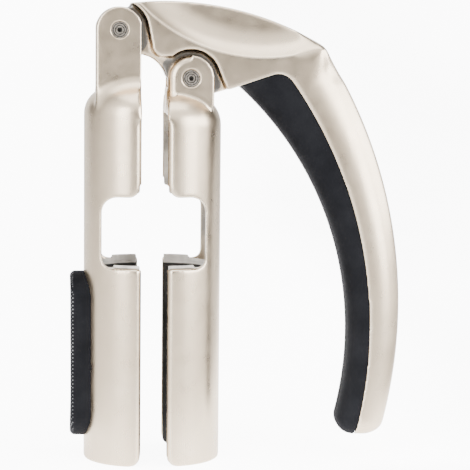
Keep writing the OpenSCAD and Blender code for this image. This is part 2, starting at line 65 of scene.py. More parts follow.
class Body(str, Enum):
    """The bodies that pieces ride on."""

    FIXED_JAW = "fixed_jaw"
    MOVING_JAW = "moving_jaw"
    LEVER = "lever"


class Slot(str, Enum):
    """The record's material slots that dressed pieces have."""

    NICKEL = "nickel"
    STEEL = "steel"
    SOFT_BLACK = "soft_black"
    LINER = "liner"


class Kind(str, Enum):
    """What is picked in edit mode."""

    FACE = "FACE"
    EDGE = "EDGE"
    POINT = "VERT"


class Axis(Enum):
    """Axis of a round face: the two coordinates across it and the one along it."""

    UPRIGHT = (0, 1, 2)
    FRONT_TO_BACK = (0, 2, 1)


class Bench:
    """The hand moves that the pieces share."""

    MERGE = 0.002  # points closer than this, in millimetres, are doubles
    FACING = 0.999  # least share of a face's normal along the way that it looks

    @staticmethod
    def clear() -> None:
        """Goes back to object mode with nothing selected."""
        if bpy.context.mode != "OBJECT":
            bpy.ops.object.mode_set(mode="OBJECT")
        bpy.ops.object.select_all(action="DESELECT")

    @staticmethod
    def hold(piece: Piece) -> None:
        """Makes a piece the only one selected.

        Args:
            piece: The piece.
        """
        Bench.clear()
        piece.select_set(True)
        bpy.context.view_layer.objects.active = piece

    @staticmethod
    def take(name: str) -> Piece:
        """Names the primitive just added and sets its place into its mesh.

        Args:
            name: The piece's name.

        Returns:
            The piece, at the origin.
        """
        piece = bpy.context.object
        bpy.ops.object.transform_apply(location=True, rotation=True, scale=True)
        piece.name = piece.data.name = name
        return piece

    @staticmethod
    def edit(piece: Piece) -> None:
        """Opens a piece in edit mode with nothing selected.

        Args:
            piece: The piece.
        """
        Bench.hold(piece)
        bpy.ops.object.mode_set(mode="EDIT")
        bpy.ops.mesh.select_all(action="DESELECT")

    @staticmethod
    def pick(kind: Kind, test: Callable[[Element], bool]) -> None:
        """Selects faces, edges or points of the piece in edit mode.

        Args:
            kind: What is selected.
            test: Tells whether one of them, with its places in metres, is wanted.
        """
        bpy.ops.mesh.select_mode(type=kind.value)
        bpy.ops.mesh.select_all(action="DESELECT")
        mesh = bmesh.from_edit_mesh(bpy.context.edit_object.data)
        parts = {Kind.FACE: mesh.faces, Kind.EDGE: mesh.edges, Kind.POINT: mesh.verts}
        for part in parts[kind]:
            if test(part):
                part.select_set(True)
        if kind is Kind.POINT:
            mesh.select_flush(True)
        bmesh.update_edit_mesh(bpy.context.edit_object.data)

    @staticmethod
    def extrude(x: float, y: float, z: float) -> None:
        """Extrudes what is selected by a step in millimetres."""
        step = (x * MM, y * MM, z * MM)
        bpy.ops.mesh.extrude_region_move(TRANSFORM_OT_translate={"value": step})

    @staticmethod
    def inset(width: float) -> None:
        """Insets the selected faces by a width in millimetres."""
        bpy.ops.mesh.inset(thickness=width * MM, use_even_offset=True)

    @staticmethod
    def turn_about_y(angle: float, x: float, z: float) -> None:
        """Turns what is selected by radians about an axis along Y, placed in millimetres."""
        centre = (x * MM, 0.0, z * MM)
        bpy.ops.transform.rotate(value=angle, orient_axis="Y", center_override=centre)

    @staticmethod
    def modify(piece: Piece, kind: str, **settings: object) -> None:
        """Adds a modifier to a piece and applies it.

        Args:
            piece: The piece.
            kind: The modifier's type.
            settings: Its settings by name.
        """
        Bench.hold(piece)
        bpy.ops.object.modifier_add(type=kind)
        modifier = piece.modifiers[-1]
        for key, value in settings.items():
            setattr(modifier, key, value)
        bpy.ops.object.modifier_apply(modifier=modifier.name)

    @staticmethod
    def close_up(piece: Piece, angle: float) -> None:
        """Merges doubles, turns the faces outwards and shades the piece smooth up to an angle.

        Args:
            piece: The piece.
            angle: Angle in degrees past which an edge stays sharp.
        """
        Bench.edit(piece)
        bpy.ops.mesh.select_all(action="SELECT")
        bpy.ops.mesh.remove_doubles(threshold=Bench.MERGE * MM)
        bpy.ops.mesh.normals_make_consistent(inside=False)
        Bench.hold(piece)
        bpy.ops.object.shade_smooth_by_angle(angle=math.radians(angle))

    @staticmethod
    def points(piece: Piece) -> Array:
        """Reads the piece's points.

        Args:
            piece: The piece.

        Returns:
            The points in millimetres, one row each.
        """
        flat = np.empty(len(piece.data.vertices) * 3, dtype=np.float32)
        piece.data.vertices.foreach_get("co", flat)
        return flat.reshape(-1, 3).astype(float) / MM

    @staticmethod
    def place(piece: Piece, points: Array) -> None:
        """Puts the piece's points where they are given, in millimetres."""
        piece.data.vertices.foreach_set("co", (points * MM).astype(np.float32).ravel())
        piece.data.update()

    @staticmethod
    def note(piece: Piece, name: str, shares: Array) -> None:
        """Gives each of the piece's points a share from 0 to 1, which finishes read by its name."""
        layer = piece.data.attributes.new(name, "FLOAT", "POINT")
        layer.data.foreach_set("value", shares)


class Nodes:
    """A node tree with the links that finishes and sky share."""

    def __init__(self, tree: bpy.types.NodeTree) -> None:
        """Takes up a tree and gives it texture coordinates."""
        self.tree = tree
        self.coords = tree.nodes.new("ShaderNodeTexCoord")

    def plug(self, value: object, socket: Socket) -> None:
        """Links a socket to another one, or sets its value.

        Args:
            value: The other socket, or the value.
            socket: The socket.
        """
        if isinstance(value, Socket):
            self.tree.links.new(value, socket)
        else:
            socket.default_value = value

    def node(self, kind: str, **inputs: object) -> bpy.types.Node:
        """Adds a node.

        Args:
            kind: The node's type.
            inputs: Sockets to link or values to set, by name with _ for spaces.

        Returns:
            The node.
        """
        node = self.tree.nodes.new(kind)
        for key, value in inputs.items():
            self.plug(value, node.inputs[key.replace("_", " ")])
        return node

    def split(self, kind: str) -> bpy.types.bpy_prop_collection:
        """Gives the sockets X, Y and Z of a kind of texture coordinates."""
        return self.node("ShaderNodeSeparateXYZ", Vector=self.coords.outputs[kind]).outputs

    def noise(self, size: float, detail: float = 2.0) -> Socket:
        """Gives a soft noise.

        Args:
            size: Size of its grains in millimetres.
            detail: How many finer layers it has.

        Returns:
            The noise, from 0 to 1.
        """
        spot = self.coords.outputs["Object"]
        node = self.node("ShaderNodeTexNoise", Vector=spot, Scale=1.0 / (size * MM), Detail=detail)
        return node.outputs["Fac"]

    def spread(self, value: Socket, low: float, high: float, start: float = 0.3, end: float = 0.7) -> Socket:
        """Maps a value onto a range.

        Args:
            value: The value.
            low: What start becomes.
            high: What end becomes.
            start: Start of the value's own range, by default that of a noise.
            end: End of the value's own range.

        Returns:
            The mapped value.
        """
        node = self.node("ShaderNodeMapRange", Value=value, From_Min=start, From_Max=end,
                         To_Min=low, To_Max=high)
        return node.outputs["Result"]

    def ramp(self, value: Socket, *stops: tuple[float, Triple]) -> Socket:
        """Turns a value into a colour.

        Args:
            value: The value, from 0 to 1.
            stops: Places and their linear colours.

        Returns:
            The colour.
        """
        node = self.node("ShaderNodeValToRGB", Fac=value)
        marks = node.color_ramp.elements
        while len(marks) < len(stops):
            marks.new(1.0)
        for mark, (place, colour) in zip(marks, stops):
            mark.position = place
            mark.color = (*colour, 1.0)
        return node.outputs["Color"]

    def math(self, what: str, a: object, b: object = 0.0) -> Socket:
        """Joins two values.

        Args:
            what: The operation.
            a: First value or socket.
            b: Second value or socket.

        Returns:
            The result.
        """
        node = self.node("ShaderNodeMath")
        node.operation = what
        for socket, value in zip(node.inputs, (a, b)):
            self.plug(value, socket)
        return node.outputs["Value"]


class Paint(Nodes):
    """A material around one shader."""

    def __init__(self, name: str) -> None:
        """Starts a material.

        Args:
            name: The material's name.
        """
        self.material = bpy.data.materials.new(name)
        self.material.use_nodes = True
        super().__init__(self.material.node_tree)
        self.shader = next(n for n in self.tree.nodes if n.type == "BSDF_PRINCIPLED")

    def mark(self, name: str) -> Socket:
        """Gives what the piece's points carry under a name.

        Args:
            name: The name.

        Returns:
            A share from 0 to 1.
        """
        node = self.node("ShaderNodeAttribute")
        node.attribute_name = name
        return node.outputs["Fac"]

    def bump(self, height: Socket, depth: float, strength: float, under: Socket | None = None) -> Socket:
        """Raises the surface.

        Args:
            height: Height from 0 to 1.
            depth: What a height of 1 is in millimetres.
            strength: Share of the effect.
            under: A bump that lies under this one.

        Returns:
            The normal.
        """
        node = self.node("ShaderNodeBump", Height=height, Distance=depth * MM, Strength=strength)
        if under is not None:
            self.plug(under, node.inputs["Normal"])
        return node.outputs["Normal"]

    def feed(self, **inputs: object) -> None:
        """Links sockets to the shader or sets its constants, by name with _ for spaces."""
        for key, value in inputs.items():
            self.plug(value, self.shader.inputs[key.replace("_", " ")])


@dataclass(frozen=True)
class SatinNickel:
    """Blasted and plated casting, shinier where its edges are rubbed and darkened by painted shade in its
    recesses.

    Its textures' sizes and depths are in millimetres.
    """

    name: str = "satin_nickel"
    # colour of the painted shade in recesses
    painted_shade: Triple = (0.24, 0.225, 0.205)
    low: Triple = (0.665, 0.540, 0.395)
    high: Triple = (0.725, 0.598, 0.445)
    worn: Triple = (0.82, 0.715, 0.565)
    clean: Pair = (0.3, 0.6)
    cloud: float = 14.0
    rough: Pair = (0.27, 0.34)
    polish: float = 0.08
    blotch: float = 5.0
    grain: float = 0.22
    dent: float = 1.6
    relief: float = 0.012
    strength: Pair = (0.25, 0.1)

    def material(self) -> Material:
        """Makes the finish.

        Returns:
            Its node material.
        """
        paint = Paint(self.name)
        rubbed, shade_share = paint.mark("worn"), paint.mark("painted_shade_share")
        low, high = self.clean
        shade = paint.spread(paint.noise(self.cloud, detail=3.0), low, high)
        shade = paint.math("ADD", shade, paint.math("MULTIPLY", rubbed, 1.0 - high))
        # painted shade: shaded points turn darker and greyer, towards the shade colour
        shade = paint.math("SUBTRACT", shade, paint.math("MULTIPLY", shade_share, high))
        colour = paint.ramp(shade, (0.0, self.painted_shade), (low, self.low), (high, self.high), (1.0, self.worn))
        rough = paint.spread(paint.noise(self.blotch, detail=4.0), *self.rough)
        rough = paint.math("SUBTRACT", rough, paint.math("MULTIPLY", rubbed, self.polish))
        normal = paint.bump(paint.noise(self.grain), self.relief, self.strength[0])
        normal = paint.bump(paint.noise(self.dent), self.relief, self.strength[1], normal)
        paint.feed(Metallic=1.0, Specular_IOR_Level=0.5)
        paint.feed(Base_Color=colour, Roughness=rough, Normal=normal)
        return paint.material


@dataclass(frozen=True)
class TurnedSteel:
    """Turned steel, darkened by painted shade in its grooves."""

    name: str = "turned_steel"
    # colour of the painted shade in the grooves
    painted_shade: Triple = (0.03, 0.028, 0.025)
    low: Triple = (0.50, 0.45, 0.39)
    high: Triple = (0.62, 0.56, 0.49)
    stops: Triple = (0.1, 0.65, 1.0)
    clean: Pair = (0.7, 1.0)
    cloud: float = 1.2
    rough: Pair = (0.24, 0.34)
    blotch: float = 0.6
    grain: float = 0.3
    relief: float = 0.006
    strength: float = 0.3

    def material(self) -> Material:
        """Makes the finish.

        Returns:
            Its node material.
        """
        paint = Paint(self.name)
        clean = paint.spread(paint.noise(self.cloud, detail=3.0), *self.clean)
        # painted shade: shaded points drop to the shade colour
        clean = paint.math("SUBTRACT", clean, paint.mark("painted_shade_share"))
        colour = paint.ramp(clean, *zip(self.stops, (self.painted_shade, self.low, self.high)))
        rough = paint.spread(paint.noise(self.blotch), *self.rough)
        normal = paint.bump(paint.noise(self.grain, detail=1.0), self.relief, self.strength)
        paint.feed(Metallic=1.0, Base_Color=colour, Roughness=rough, Normal=normal)
        return paint.material


@dataclass(frozen=True)
class SoftRubber:
    """Matt rubber with a fine grain, and if wanted with raised dots whose lighter colour is a painted
    highlight, on faces that look left, or a pale top.
    """

    name: str = "soft_rubber"
    low: Triple = (0.0075, 0.0077, 0.0091)
    high: Triple = (0.0120, 0.0123, 0.0143)
    cloud: float = 9.0
    rough: Pair = (0.58, 0.70)
    blotch: float = 0.8
    grain: float = 0.16
    relief: float = 0.02
    strength: float = 0.5
    shine: float = 0.025
    dark_share: float = 0.4
    dot_pitch: float = 0.0
    # lighter colour of the dots, a painted highlight
    dot_highlight: Triple = (0.20, 0.20, 0.205)
    dot_reach: Pair = (0.18, 0.42)
    dot_relief: float = 0.16
    dot_strength: float = 0.9
    dot_side: Pair = (-0.5, -0.15)
    dot_turn: float = 45.0
    pale_from: float = 0.0
    pale: Triple = (0.90, 0.855, 0.79)
    pale_fade: float = 0.5

    def material(self) -> Material:
        """Makes the finish.

        Returns:
            Its node material.
        """
        paint = Paint(self.name)
        shade, light = paint.spread(paint.noise(self.cloud, detail=3.0), 0.0, self.dark_share), self.high
        rough = paint.spread(paint.noise(self.blotch, detail=3.0), *self.rough)
        normal = paint.bump(paint.noise(self.grain), self.relief, self.strength)
        light_share = 1.0 - self.dark_share
        if self.dot_pitch:
            # the dots are raised by a bump, and their lighter colour is a painted highlight
            dots, light = self.dots(paint), self.dot_highlight
            normal = paint.bump(dots, self.dot_relief, self.dot_strength, normal)
            shade = paint.math("ADD", shade, paint.math("MULTIPLY", dots, light_share))
        if self.pale_from:
            start, end, light = self.pale_from * MM, (self.pale_from + self.pale_fade) * MM, self.pale
            top = paint.spread(paint.split("Object")["Z"], 0.0, light_share, start, end)
            shade = paint.math("ADD", shade, top)
        colour = paint.ramp(shade, (0.0, self.low), (self.dark_share, self.high), (1.0, light))
        paint.feed(Specular_IOR_Level=self.shine, Base_Color=colour, Roughness=rough, Normal=normal)
        return paint.material

    def dots(self, paint: Paint) -> Socket:
        """Draws the dots.

        Args:
            paint: The material that they are drawn in.

        Returns:
            Their height, from 0 to 1.
        """
        flat = paint.node("ShaderNodeMapping", Vector=paint.coords.outputs["Object"],
                          Rotation=(math.radians(self.dot_turn), 0.0, 0.0), Scale=(0.0, 1.0, 1.0))
        cells = paint.node("ShaderNodeTexVoronoi", Vector=flat.outputs["Vector"],
                           Scale=1.0 / (self.dot_pitch * MM), Randomness=0.0)
        dot_highlight = paint.spread(cells.outputs["Distance"], 1.0, 0.0, *self.dot_reach)
        outer = paint.spread(paint.split("Normal")["X"], 1.0, 0.0, *self.dot_side)
        return paint.math("MULTIPLY", dot_highlight, outer)


@dataclass(frozen=True)
class HardPlastic:
    """Moulded plastic with a fine spark texture."""

    name: str = "hard_plastic"
    low: Triple = (0.022, 0.022, 0.025)
    high: Triple = (0.035, 0.035, 0.039)
    rough: Pair = (0.40, 0.52)
    cloud: float = 4.0
    blotch: float = 0.5
    grain: float = 0.2
    relief: float = 0.015
    strength: float = 0.5

    def material(self) -> Material:
        """Makes the finish.

        Returns:
            Its node material.
        """
        paint = Paint(self.name)
        cloud = paint.spread(paint.noise(self.cloud, detail=3.0), 0.0, 1.0)
        colour = paint.ramp(cloud, (0.0, self.low), (1.0, self.high))
        rough = paint.spread(paint.noise(self.blotch), *self.rough)
        normal = paint.bump(paint.noise(self.grain), self.relief, self.strength)
        paint.feed(Base_Color=colour, Roughness=rough, Normal=normal)
        return paint.material


@dataclass(frozen=True)
class PalePaper:
    """Paper of floor and backdrop: white to the camera, and toned where the metal mirrors it.

    A dark flag lies before the lever's foot and the floor to the right is grey. The lane behind the opener,
    which widens away from the camera, shines.
    """

    name: str = "pale_paper"
    tones: Triple = (0.1, 0.86, 0.89)
    plain: float = 0.6
    cloud: float = 400.0
    flag: Pair = (112.0, -130.0)
    flag_x: Pair = (30.0, 55.0)
    flag_y: Pair = (90.0, 130.0)
    grey: float = 0.5
    grey_x: Pair = (90.0, 160.0)
    white: float = 9.0
    glow: float = 2.6
    glow_y: Pair = (-140.0, -30.0)
    lane: Pair = (34.0, 166.0)
    lane_end: float = 1500.0
    lane_w: Pair = (0.14, 0.22)
    camera_y: float = -700.0

    def material(self) -> Material:
        """Makes the finish.

        Returns:
            Its node material.
        """
        paint = Paint(self.name)
        tone = paint.spread(paint.noise(self.cloud), self.plain, 1.0)
        tone = paint.math("SUBTRACT", tone, self.shade(paint))
        dark, pale, palest = ((value,) * 3 for value in self.tones)
        colour = paint.ramp(tone, (0.0, dark), (self.plain, pale), (1.0, palest))
        seen = paint.math("MULTIPLY", paint.node("ShaderNodeLightPath").outputs["Is Camera Ray"], self.white)
        paint.feed(Roughness=0.9, Specular_IOR_Level=0.1, Base_Color=colour)
        paint.feed(Emission_Color=(1.0, 1.0, 1.0, 1.0))
        paint.feed(Emission_Strength=paint.math("MAXIMUM", self.shine(paint), seen))
        return paint.material

    def shade(self, paint: Paint) -> Socket:
        """Gives how much darker the floor is.

        Args:
            paint: The material.

        Returns:
            What is taken off its tone.
        """
        place = paint.split("Object")
        flag = self.plain
        for axis, middle, (start, end) in zip("XY", self.flag, (self.flag_x, self.flag_y)):
            off = paint.math("ABSOLUTE", paint.math("SUBTRACT", place[axis], middle * MM))
            flag = paint.math("MULTIPLY", flag, paint.spread(off, 1.0, 0.0, start * MM, end * MM))
        start, end = self.grey_x
        return paint.math("MAXIMUM", flag, paint.spread(place["X"], 0.0, self.grey, start * MM, end * MM))

    def shine(self, paint: Paint) -> Socket:
        """Gives how brightly the lane shines.

        Args:
            paint: The material.

        Returns:
            The strength of its light.
        """
        place = paint.split("Object")
        near, far = self.lane
        middle = paint.spread(place["Y"], near * MM, far * MM, 0.0, self.lane_end * MM)
        off = paint.math("ABSOLUTE", paint.math("SUBTRACT", place["X"], middle))
        off = paint.math("DIVIDE", off, paint.math("SUBTRACT", place["Y"], self.camera_y * MM))
        start, end = self.glow_y
        return paint.math("MULTIPLY", paint.spread(place["Y"], 0.0, self.glow, start * MM, end * MM),
                          paint.spread(off, 1.0, 0.0, *self.lane_w))


class Face(Protocol):
    """A true face of a casting."""

    def seat(self, points: Array) -> Seated:
        """Gives how far points are off the face, infinite outside its area, and where they belong."""


@dataclass(frozen=True)
class RoundWall:
    """A round wall about an upright axis or one from front to back, between two heights."""

    axis: Axis
    centre: Pair
    r: float
    low: float
    high: float = math.inf

    def seat(self, points: Array) -> Seated:
        """Seats points on the wall.

        Args:
            points: Points in millimetres.

        Returns:
            How far each point is off the wall, infinite outside its area, and where it belongs.
        """
        *across, _ = self.axis.value
        rel = points[:, across] - self.centre
        far = np.maximum(np.hypot(rel[:, 0], rel[:, 1]), TINY)
        seated = points.copy()
        seated[:, across] = self.centre + rel * (self.r / far)[:, None]
        inside = (points[:, 2] > self.low) & (points[:, 2] < self.high)
        return np.where(inside, far - self.r, np.inf), seated


@dataclass(frozen=True)
class TurnedFace:
    """A round rim or hollow turned about an axis, or a dome where its ring has no radius.

    Level, low and high are distances along the axis, on both sides of its zero.
    """

    axis: Axis
    centre: Pair
    ring: float
    level: float
    r: float
    low: float = -math.inf
    high: float = math.inf

    def seat(self, points: Array) -> Seated:
        """Seats points on the face.

        Args:
            points: Points in millimetres.

        Returns:
            How far each point is off the face, infinite outside its area, and where it belongs.
        """
        *across, along = self.axis.value
        rel, place = points[:, across] - self.centre, np.abs(points[:, along])
        out, deep = np.maximum(np.hypot(*rel.T), TINY), place - self.level
        far = np.maximum(np.hypot(out - self.ring, deep), TINY)
        reach = self.ring + (out - self.ring) * self.r / far
        seated = points.copy()
        seated[:, across] = self.centre + rel * (reach / out)[:, None]
        seated[:, along] = np.sign(points[:, along]) * (self.level + deep * self.r / far)
        inside = (out > self.ring) & (place > self.low) & (place < self.high)
        return np.where(inside, far - self.r, np.inf), seated


def settle(gap: Callable[[Array], Array], points: Array, near: Array, rounds: int = 8,
           step: float = 1e-3) -> Seated:
    """Moves the points near a surface onto it, along its steepest way.

    Args:
        gap: Gives how far points lie outside the surface.
        points: Points in millimetres.
        near: Tells which of them are moved.
        rounds: How often they are moved.
        step: Distance over which the slope is measured.

    Returns:
        Nothing for each point near the surface, infinite for the others, and where it belongs.
    """
    seated, spots = points.copy(), points[near]
    for _ in range(rounds):
        off = gap(spots)
        slope = np.stack([gap(spots + step * axis) - off for axis in np.eye(3)], axis=-1)
        steep = np.maximum((slope**2).sum(axis=1), TINY**2)
        spots = spots - slope * (off * step / steep)[:, None]
    seated[near] = spots
    return np.where(near, 0.0, np.inf), seated


@dataclass(frozen=True)
class CrownFace:
    """A jaw's domed top, rounded over to its tube more widely than in its solid."""

    x: float
    tube_r: float
    z: float
    dome_r: float
    round_r: float
    lift: float
    wide_r: float
    low: float = 108.0
    skin: float = 0.3

    def gap(self, points: Array) -> Array:
        """Gives how far points lie outside the crown."""
        return self.outside(points, self.z + self.lift, self.wide_r)

    def outside(self, points: Array, z: float, r: float) -> Array:
        """Gives how far points lie outside a tube with a dome, rounded where they meet.

        Args:
            points: Points in millimetres.
            z: Height of the dome's centre.
            r: Radius of the round.

        Returns:
            The distances in millimetres, negative inside.
        """
        ring = self.tube_r - r
        rise = math.sqrt((self.dome_r - r) ** 2 - ring**2)
        out, up = np.hypot(points[:, 0] - self.x, points[:, 1]), points[:, 2] - z
        cap, bend = np.hypot(out, up) - self.dome_r, np.hypot(out - ring, up - rise) - r
        top = np.where(out * rise < up * ring, cap, bend)
        return np.where(up > rise, top, out - self.tube_r)

    def seat(self, points: Array) -> Seated:
        """Seats points on the crown.

        Args:
            points: Points in millimetres.

        Returns:
            Nothing for each point on the old top, infinite elsewhere, and where it belongs.
        """
        old, new = self.outside(points, self.z, self.round_r), self.gap(points)
        near = (old > -self.skin) & (new < 0.0) | (old < self.skin) & ((old > -self.skin) | (new > 0.0))
        near &= points[:, 2] > self.low
        return settle(self.gap, points, near)


@dataclass(frozen=True)
class EarBlend:
    """The hollow run-out of an ear's flat faces onto the crown that it stands on."""

    crown: CrownFace
    edge: float
    face: float = 10.5
    foot: float = 128.0
    r: float = 3.4
    side_pull: float = 4.0
    skin: Pair = (-0.3, 1.5)
    rise: float = 10.0
    reach: float = 2.0

    def walls(self, points: Array) -> tuple[Array, Array]:
        """Measures points from the ear and the crown.

        Args:
            points: Points in millimetres.

        Returns:
            How far they lie outside the ear, and outside the crown.
        """
        out = np.abs(points[:, 1]) - self.face
        left = self.edge - points[:, 0]
        ear = np.hypot(np.maximum(left, 0.0) * self.side_pull, np.maximum(out, 0.0))
        ear = np.hypot(ear, np.maximum(self.foot - points[:, 2], 0.0))
        ear += np.minimum(np.maximum(left, out), 0.0)
        return ear, self.crown.gap(points)

    def gap(self, points: Array) -> Array:
        """Measures points from the ear and crown with their hollow filled in.

        Args:
            points: Points in millimetres.

        Returns:
            How far they lie outside.
        """
        ear, top = self.walls(points)
        fill = np.hypot(np.maximum(self.r - ear, 0.0), np.maximum(self.r - top, 0.0))
        return np.maximum(self.r, np.minimum(ear, top)) - fill

    def seat(self, points: Array) -> Seated:
        """Seats points on the blend.

        Args:
            points: Points in millimetres.

        Returns:
            Nothing for each point on the ear and crown, infinite elsewhere, and where it belongs.
        """
        off = np.minimum(*self.walls(points))
        near = (off > self.skin[0]) & (off < self.skin[1])
        near &= (points[:, 2] > self.crown.z + self.rise) & (np.abs(points[:, 1]) > self.face - self.reach)
        return settle(self.gap, points, near)


@dataclass(frozen=True)
class LeverLines:
    """The lever's lines seen from the front, as points (x, z), the same as in the part's source.

    Its back is seated beyond seat_x, between the sections seat_t and off the seam by the share seat_s.
    """

    pivot: Pair = (-7.6, 154.0)
    right_pivot: Pair = (17.6, 137.2)
    reach: float = 102.0
    back_drop: float = 100.3
    back_r: float = 171.0
    metal_w: float = 11.9
    seam_r: float = 154.0
    seam_drop: float = 108.0
    grip_w: float = 7.1
    hold_r: float = 120.0
    hold_drop: float = 109.3
    hold_knee: float = 24.4
    arm_drop: float = 140.0
    back_slant: float = 1.5
    hold_slant: float = 1.1
    tip_len: float = 6.6
    tip_w: float = 19.0
    head_w: float = 22.0
    head_r: float = 108.0
    crest: Pair = (17.2, 10.3)
    pocket_r: float = 10.14
    pocket_angle: float = 23.0
    brow_drop: float = 8.8
    brow_angle: float = 18.5
    brow_r: float = 5.5
    arm_inset: float = 0.05
    knee_power: float = 20.0
    back_power: float = 2.4
    round_from: float = 0.42
    crown_from: float = 0.05
    seat_x: float = 45.0
    seat_t: Pair = (0.002, 0.998)
    seat_s: float = 0.08

    def about(self, x: float, z: float) -> Array:
        """Gives a point by its place from the left pivot."""
        return np.array(self.pivot) + [x, z]

    @property
    def crest_c(self) -> Array:
        """Centre of the head's top line."""
        return self.about(self.crest[0], self.crest[1] - self.head_r)

    @property
    def back_c(self) -> Array:
        """Centre of the arm's back."""
        return self.about(self.reach - self.back_r, -self.back_drop)

    @property
    def seam_c(self) -> Array:
        """Centre of the seam."""
        return self.about(self.reach - self.metal_w - self.seam_r, -self.seam_drop)

    @property
    def hold_c(self) -> Array:
        """Centre of the grip's inner face."""
        return self.about(self.reach - self.metal_w - self.grip_w - self.hold_r, -self.hold_drop)

    @staticmethod
    def turned(x: float, z: float, degrees: float) -> Array:
        """Turns a direction by an angle from X towards Z."""
        a = math.radians(degrees)
        return np.array([x * math.cos(a) - z * math.sin(a), x * math.sin(a) + z * math.cos(a)])

    @staticmethod
    def hit(p: Array, way: Array, centre: Array, r: float) -> Array:
        """Finds where a ray leaves a circle.

        Args:
            p: Start of the ray.
            way: Its direction.
            centre: Centre of the circle.
            r: Radius of the circle.

        Returns:
            The point on the circle.
        """
        g = p - centre
        b = g @ way
        return p + way * (-b + math.sqrt(b * b - g @ g + r * r))

    @property
    def brow_start(self) -> Array:
        """Start of the head's lower edge, beside the right pocket."""
        wall = self.turned(self.pocket_r, -self.brow_drop, self.pocket_angle)
        return np.array(self.right_pivot) + wall

    @property
    def brow_c(self) -> Array:
        """Centre of the inside corner between the head's lower edge and the arm."""
        way = self.turned(1.0, 0.0, self.brow_angle)
        start = self.brow_start + self.turned(0.0, -self.brow_r, self.brow_angle)
        return self.hit(start, way, self.seam_c, self.seam_r - self.brow_r)

    @property
    def brow_end(self) -> Array:
        """End of the head's straight lower edge."""
        return self.brow_c + self.turned(0.0, self.brow_r, self.brow_angle)

    @property
    def grip_nose(self) -> Array:
        """Point where the grip's inner face runs out on the head's lower edge."""
        way = self.turned(1.0, 0.0, self.brow_angle)
        return self.hit(self.brow_start, way, self.hold_c, self.hold_r)

    @property
    def knee(self) -> Array:
        """Corner between the head's top line and the arm's back."""
        v = self.back_c - self.crest_c
        gap = math.hypot(*v)
        a = (self.head_r**2 - self.back_r**2 + gap**2) / (2.0 * gap)
        h = math.sqrt(self.head_r**2 - a * a)
        u = v / gap
        return self.crest_c + u * a - np.array([-u[1], u[0]]) * h

    @property
    def levels(self) -> tuple[Pair, Pair, Pair]:
        """Upper and lower ends of the seam, of the back and of the grip's inner face."""
        out = self.brow_c - self.seam_c
        seam_top = self.seam_c[1] + self.seam_r * out[1] / math.hypot(*out)
        seam_end = self.pivot[1] - self.arm_drop
        return ((seam_top, seam_end), (self.knee[1], seam_end - self.back_slant),
                (self.pivot[1] - self.hold_knee, seam_end + self.hold_slant))

    @staticmethod
    def on_arc(centre: Array, r: float, ends: Pair, t: Array) -> Array:
        """Gives the right-hand points of a circle, from 0 at the upper of two heights to 1 at the lower."""
        z = ends[0] + (ends[1] - ends[0]) * np.asarray(t)
        return np.stack([centre[0] + np.sqrt(r * r - (z - centre[1]) ** 2), z], axis=-1)

    def seam(self, t: Array) -> Array:
        """Gives points of the seam, from 0 at its top to 1 at its end."""
        return self.on_arc(self.seam_c, self.seam_r, self.levels[0], t)

    def back(self, t: Array) -> Array:
        """Gives points of the arm's back, from 0 at its top to 1 at its end."""
        return self.on_arc(self.back_c, self.back_r, self.levels[1], t)

    def hold(self, t: Array) -> Array:
        """Gives points of the grip's inner face, from 0 at its top to 1 at its end."""
        return self.on_arc(self.hold_c, self.hold_r, self.levels[2], t)

    def half_depth(self, t: Array) -> Array:
        """Gives half the arm's depth front to back."""
        top = self.head_w / 2.0 - self.arm_inset
        return top + (self.tip_w / 2.0 - top) * np.maximum(t, 0.0)

    def power(self, t: Array, end: float) -> Array:
        """Gives how square the metal's section is, where its corners are fully round from end on."""
        left = np.maximum(0.0, 1.0 - np.asarray(t) / end)
        return self.back_power + (self.knee_power - self.back_power) * left**3

    def station(self, spot: Array, halvings: int = 24) -> Array:
        """Finds the sections of the arm that points lie in.

        Args:
            spot: The points (x, z).
            halvings: How often the search halves the arm.

        Returns:
            The sections, from 0 at the top of the arm to 1 at its end.
        """
        low, high = np.zeros(len(spot)), np.ones(len(spot))
        for _ in range(halvings):
            mid = (low + high) / 2.0
            m, e = self.seam(mid), self.back(mid)
            below = (e - m)[:, 0] * (spot - m)[:, 1] < (e - m)[:, 1] * (spot - m)[:, 0]
            low, high = np.where(below, mid, low), np.where(below, high, mid)
        return (low + high) / 2.0

    def seat(self, points: Array) -> Seated:
        """Seats points on the rounded back of the arm.

        Args:
            points: Points in millimetres.

        Returns:
            How far each point is off the back, infinite outside its area, and where it belongs.
        """
        spot = points[:, [0, 2]]
        t = self.station(spot)
        m, e, d = self.seam(t), self.back(t), self.half_depth(t)
        wide = np.hypot(*(e - m).T)
        s = np.maximum(((spot - m) * (e - m)).sum(axis=1) / wide**2, TINY)
        side = np.abs(points[:, 1]) / d
        far, crown = ((s**n + side**n) ** (1.0 / n)
                      for n in (self.power(t, self.round_from), self.power(t, self.crown_from)))
        seated = points.copy()
        seated[:, [0, 2]] = m + (e - m) * (s / crown)[:, None]
        seated[:, 1] = points[:, 1] / crown
        inside = (t > self.seat_t[0]) & (t < self.seat_t[1])
        inside &= (s > self.seat_s) & (points[:, 0] > self.seat_x)
        return np.where(inside, (far - 1.0) * np.minimum(wide, d), np.inf), seated


@dataclass(frozen=True)
class Melt:
    """A box of a casting that runs softer than the rest, the same at the front and the back."""

    low: Triple
    high: Triple
    fade: float
    passes: int

    def share(self, points: Array) -> Array:
        """Gives how much points are softened.

        Args:
            points: Points in millimetres.

        Returns:
            A share from 0 to 1 for each.
        """
        spot = np.stack([points[:, 0], np.abs(points[:, 1]), points[:, 2]], axis=-1)
        out = np.maximum(np.maximum(np.array(self.low) - spot, spot - np.array(self.high)), 0.0)
        near = np.clip(1.0 - np.linalg.norm(out, axis=1) / self.fade, 0.0, 1.0)
        return near * near * (3.0 - 2.0 * near)


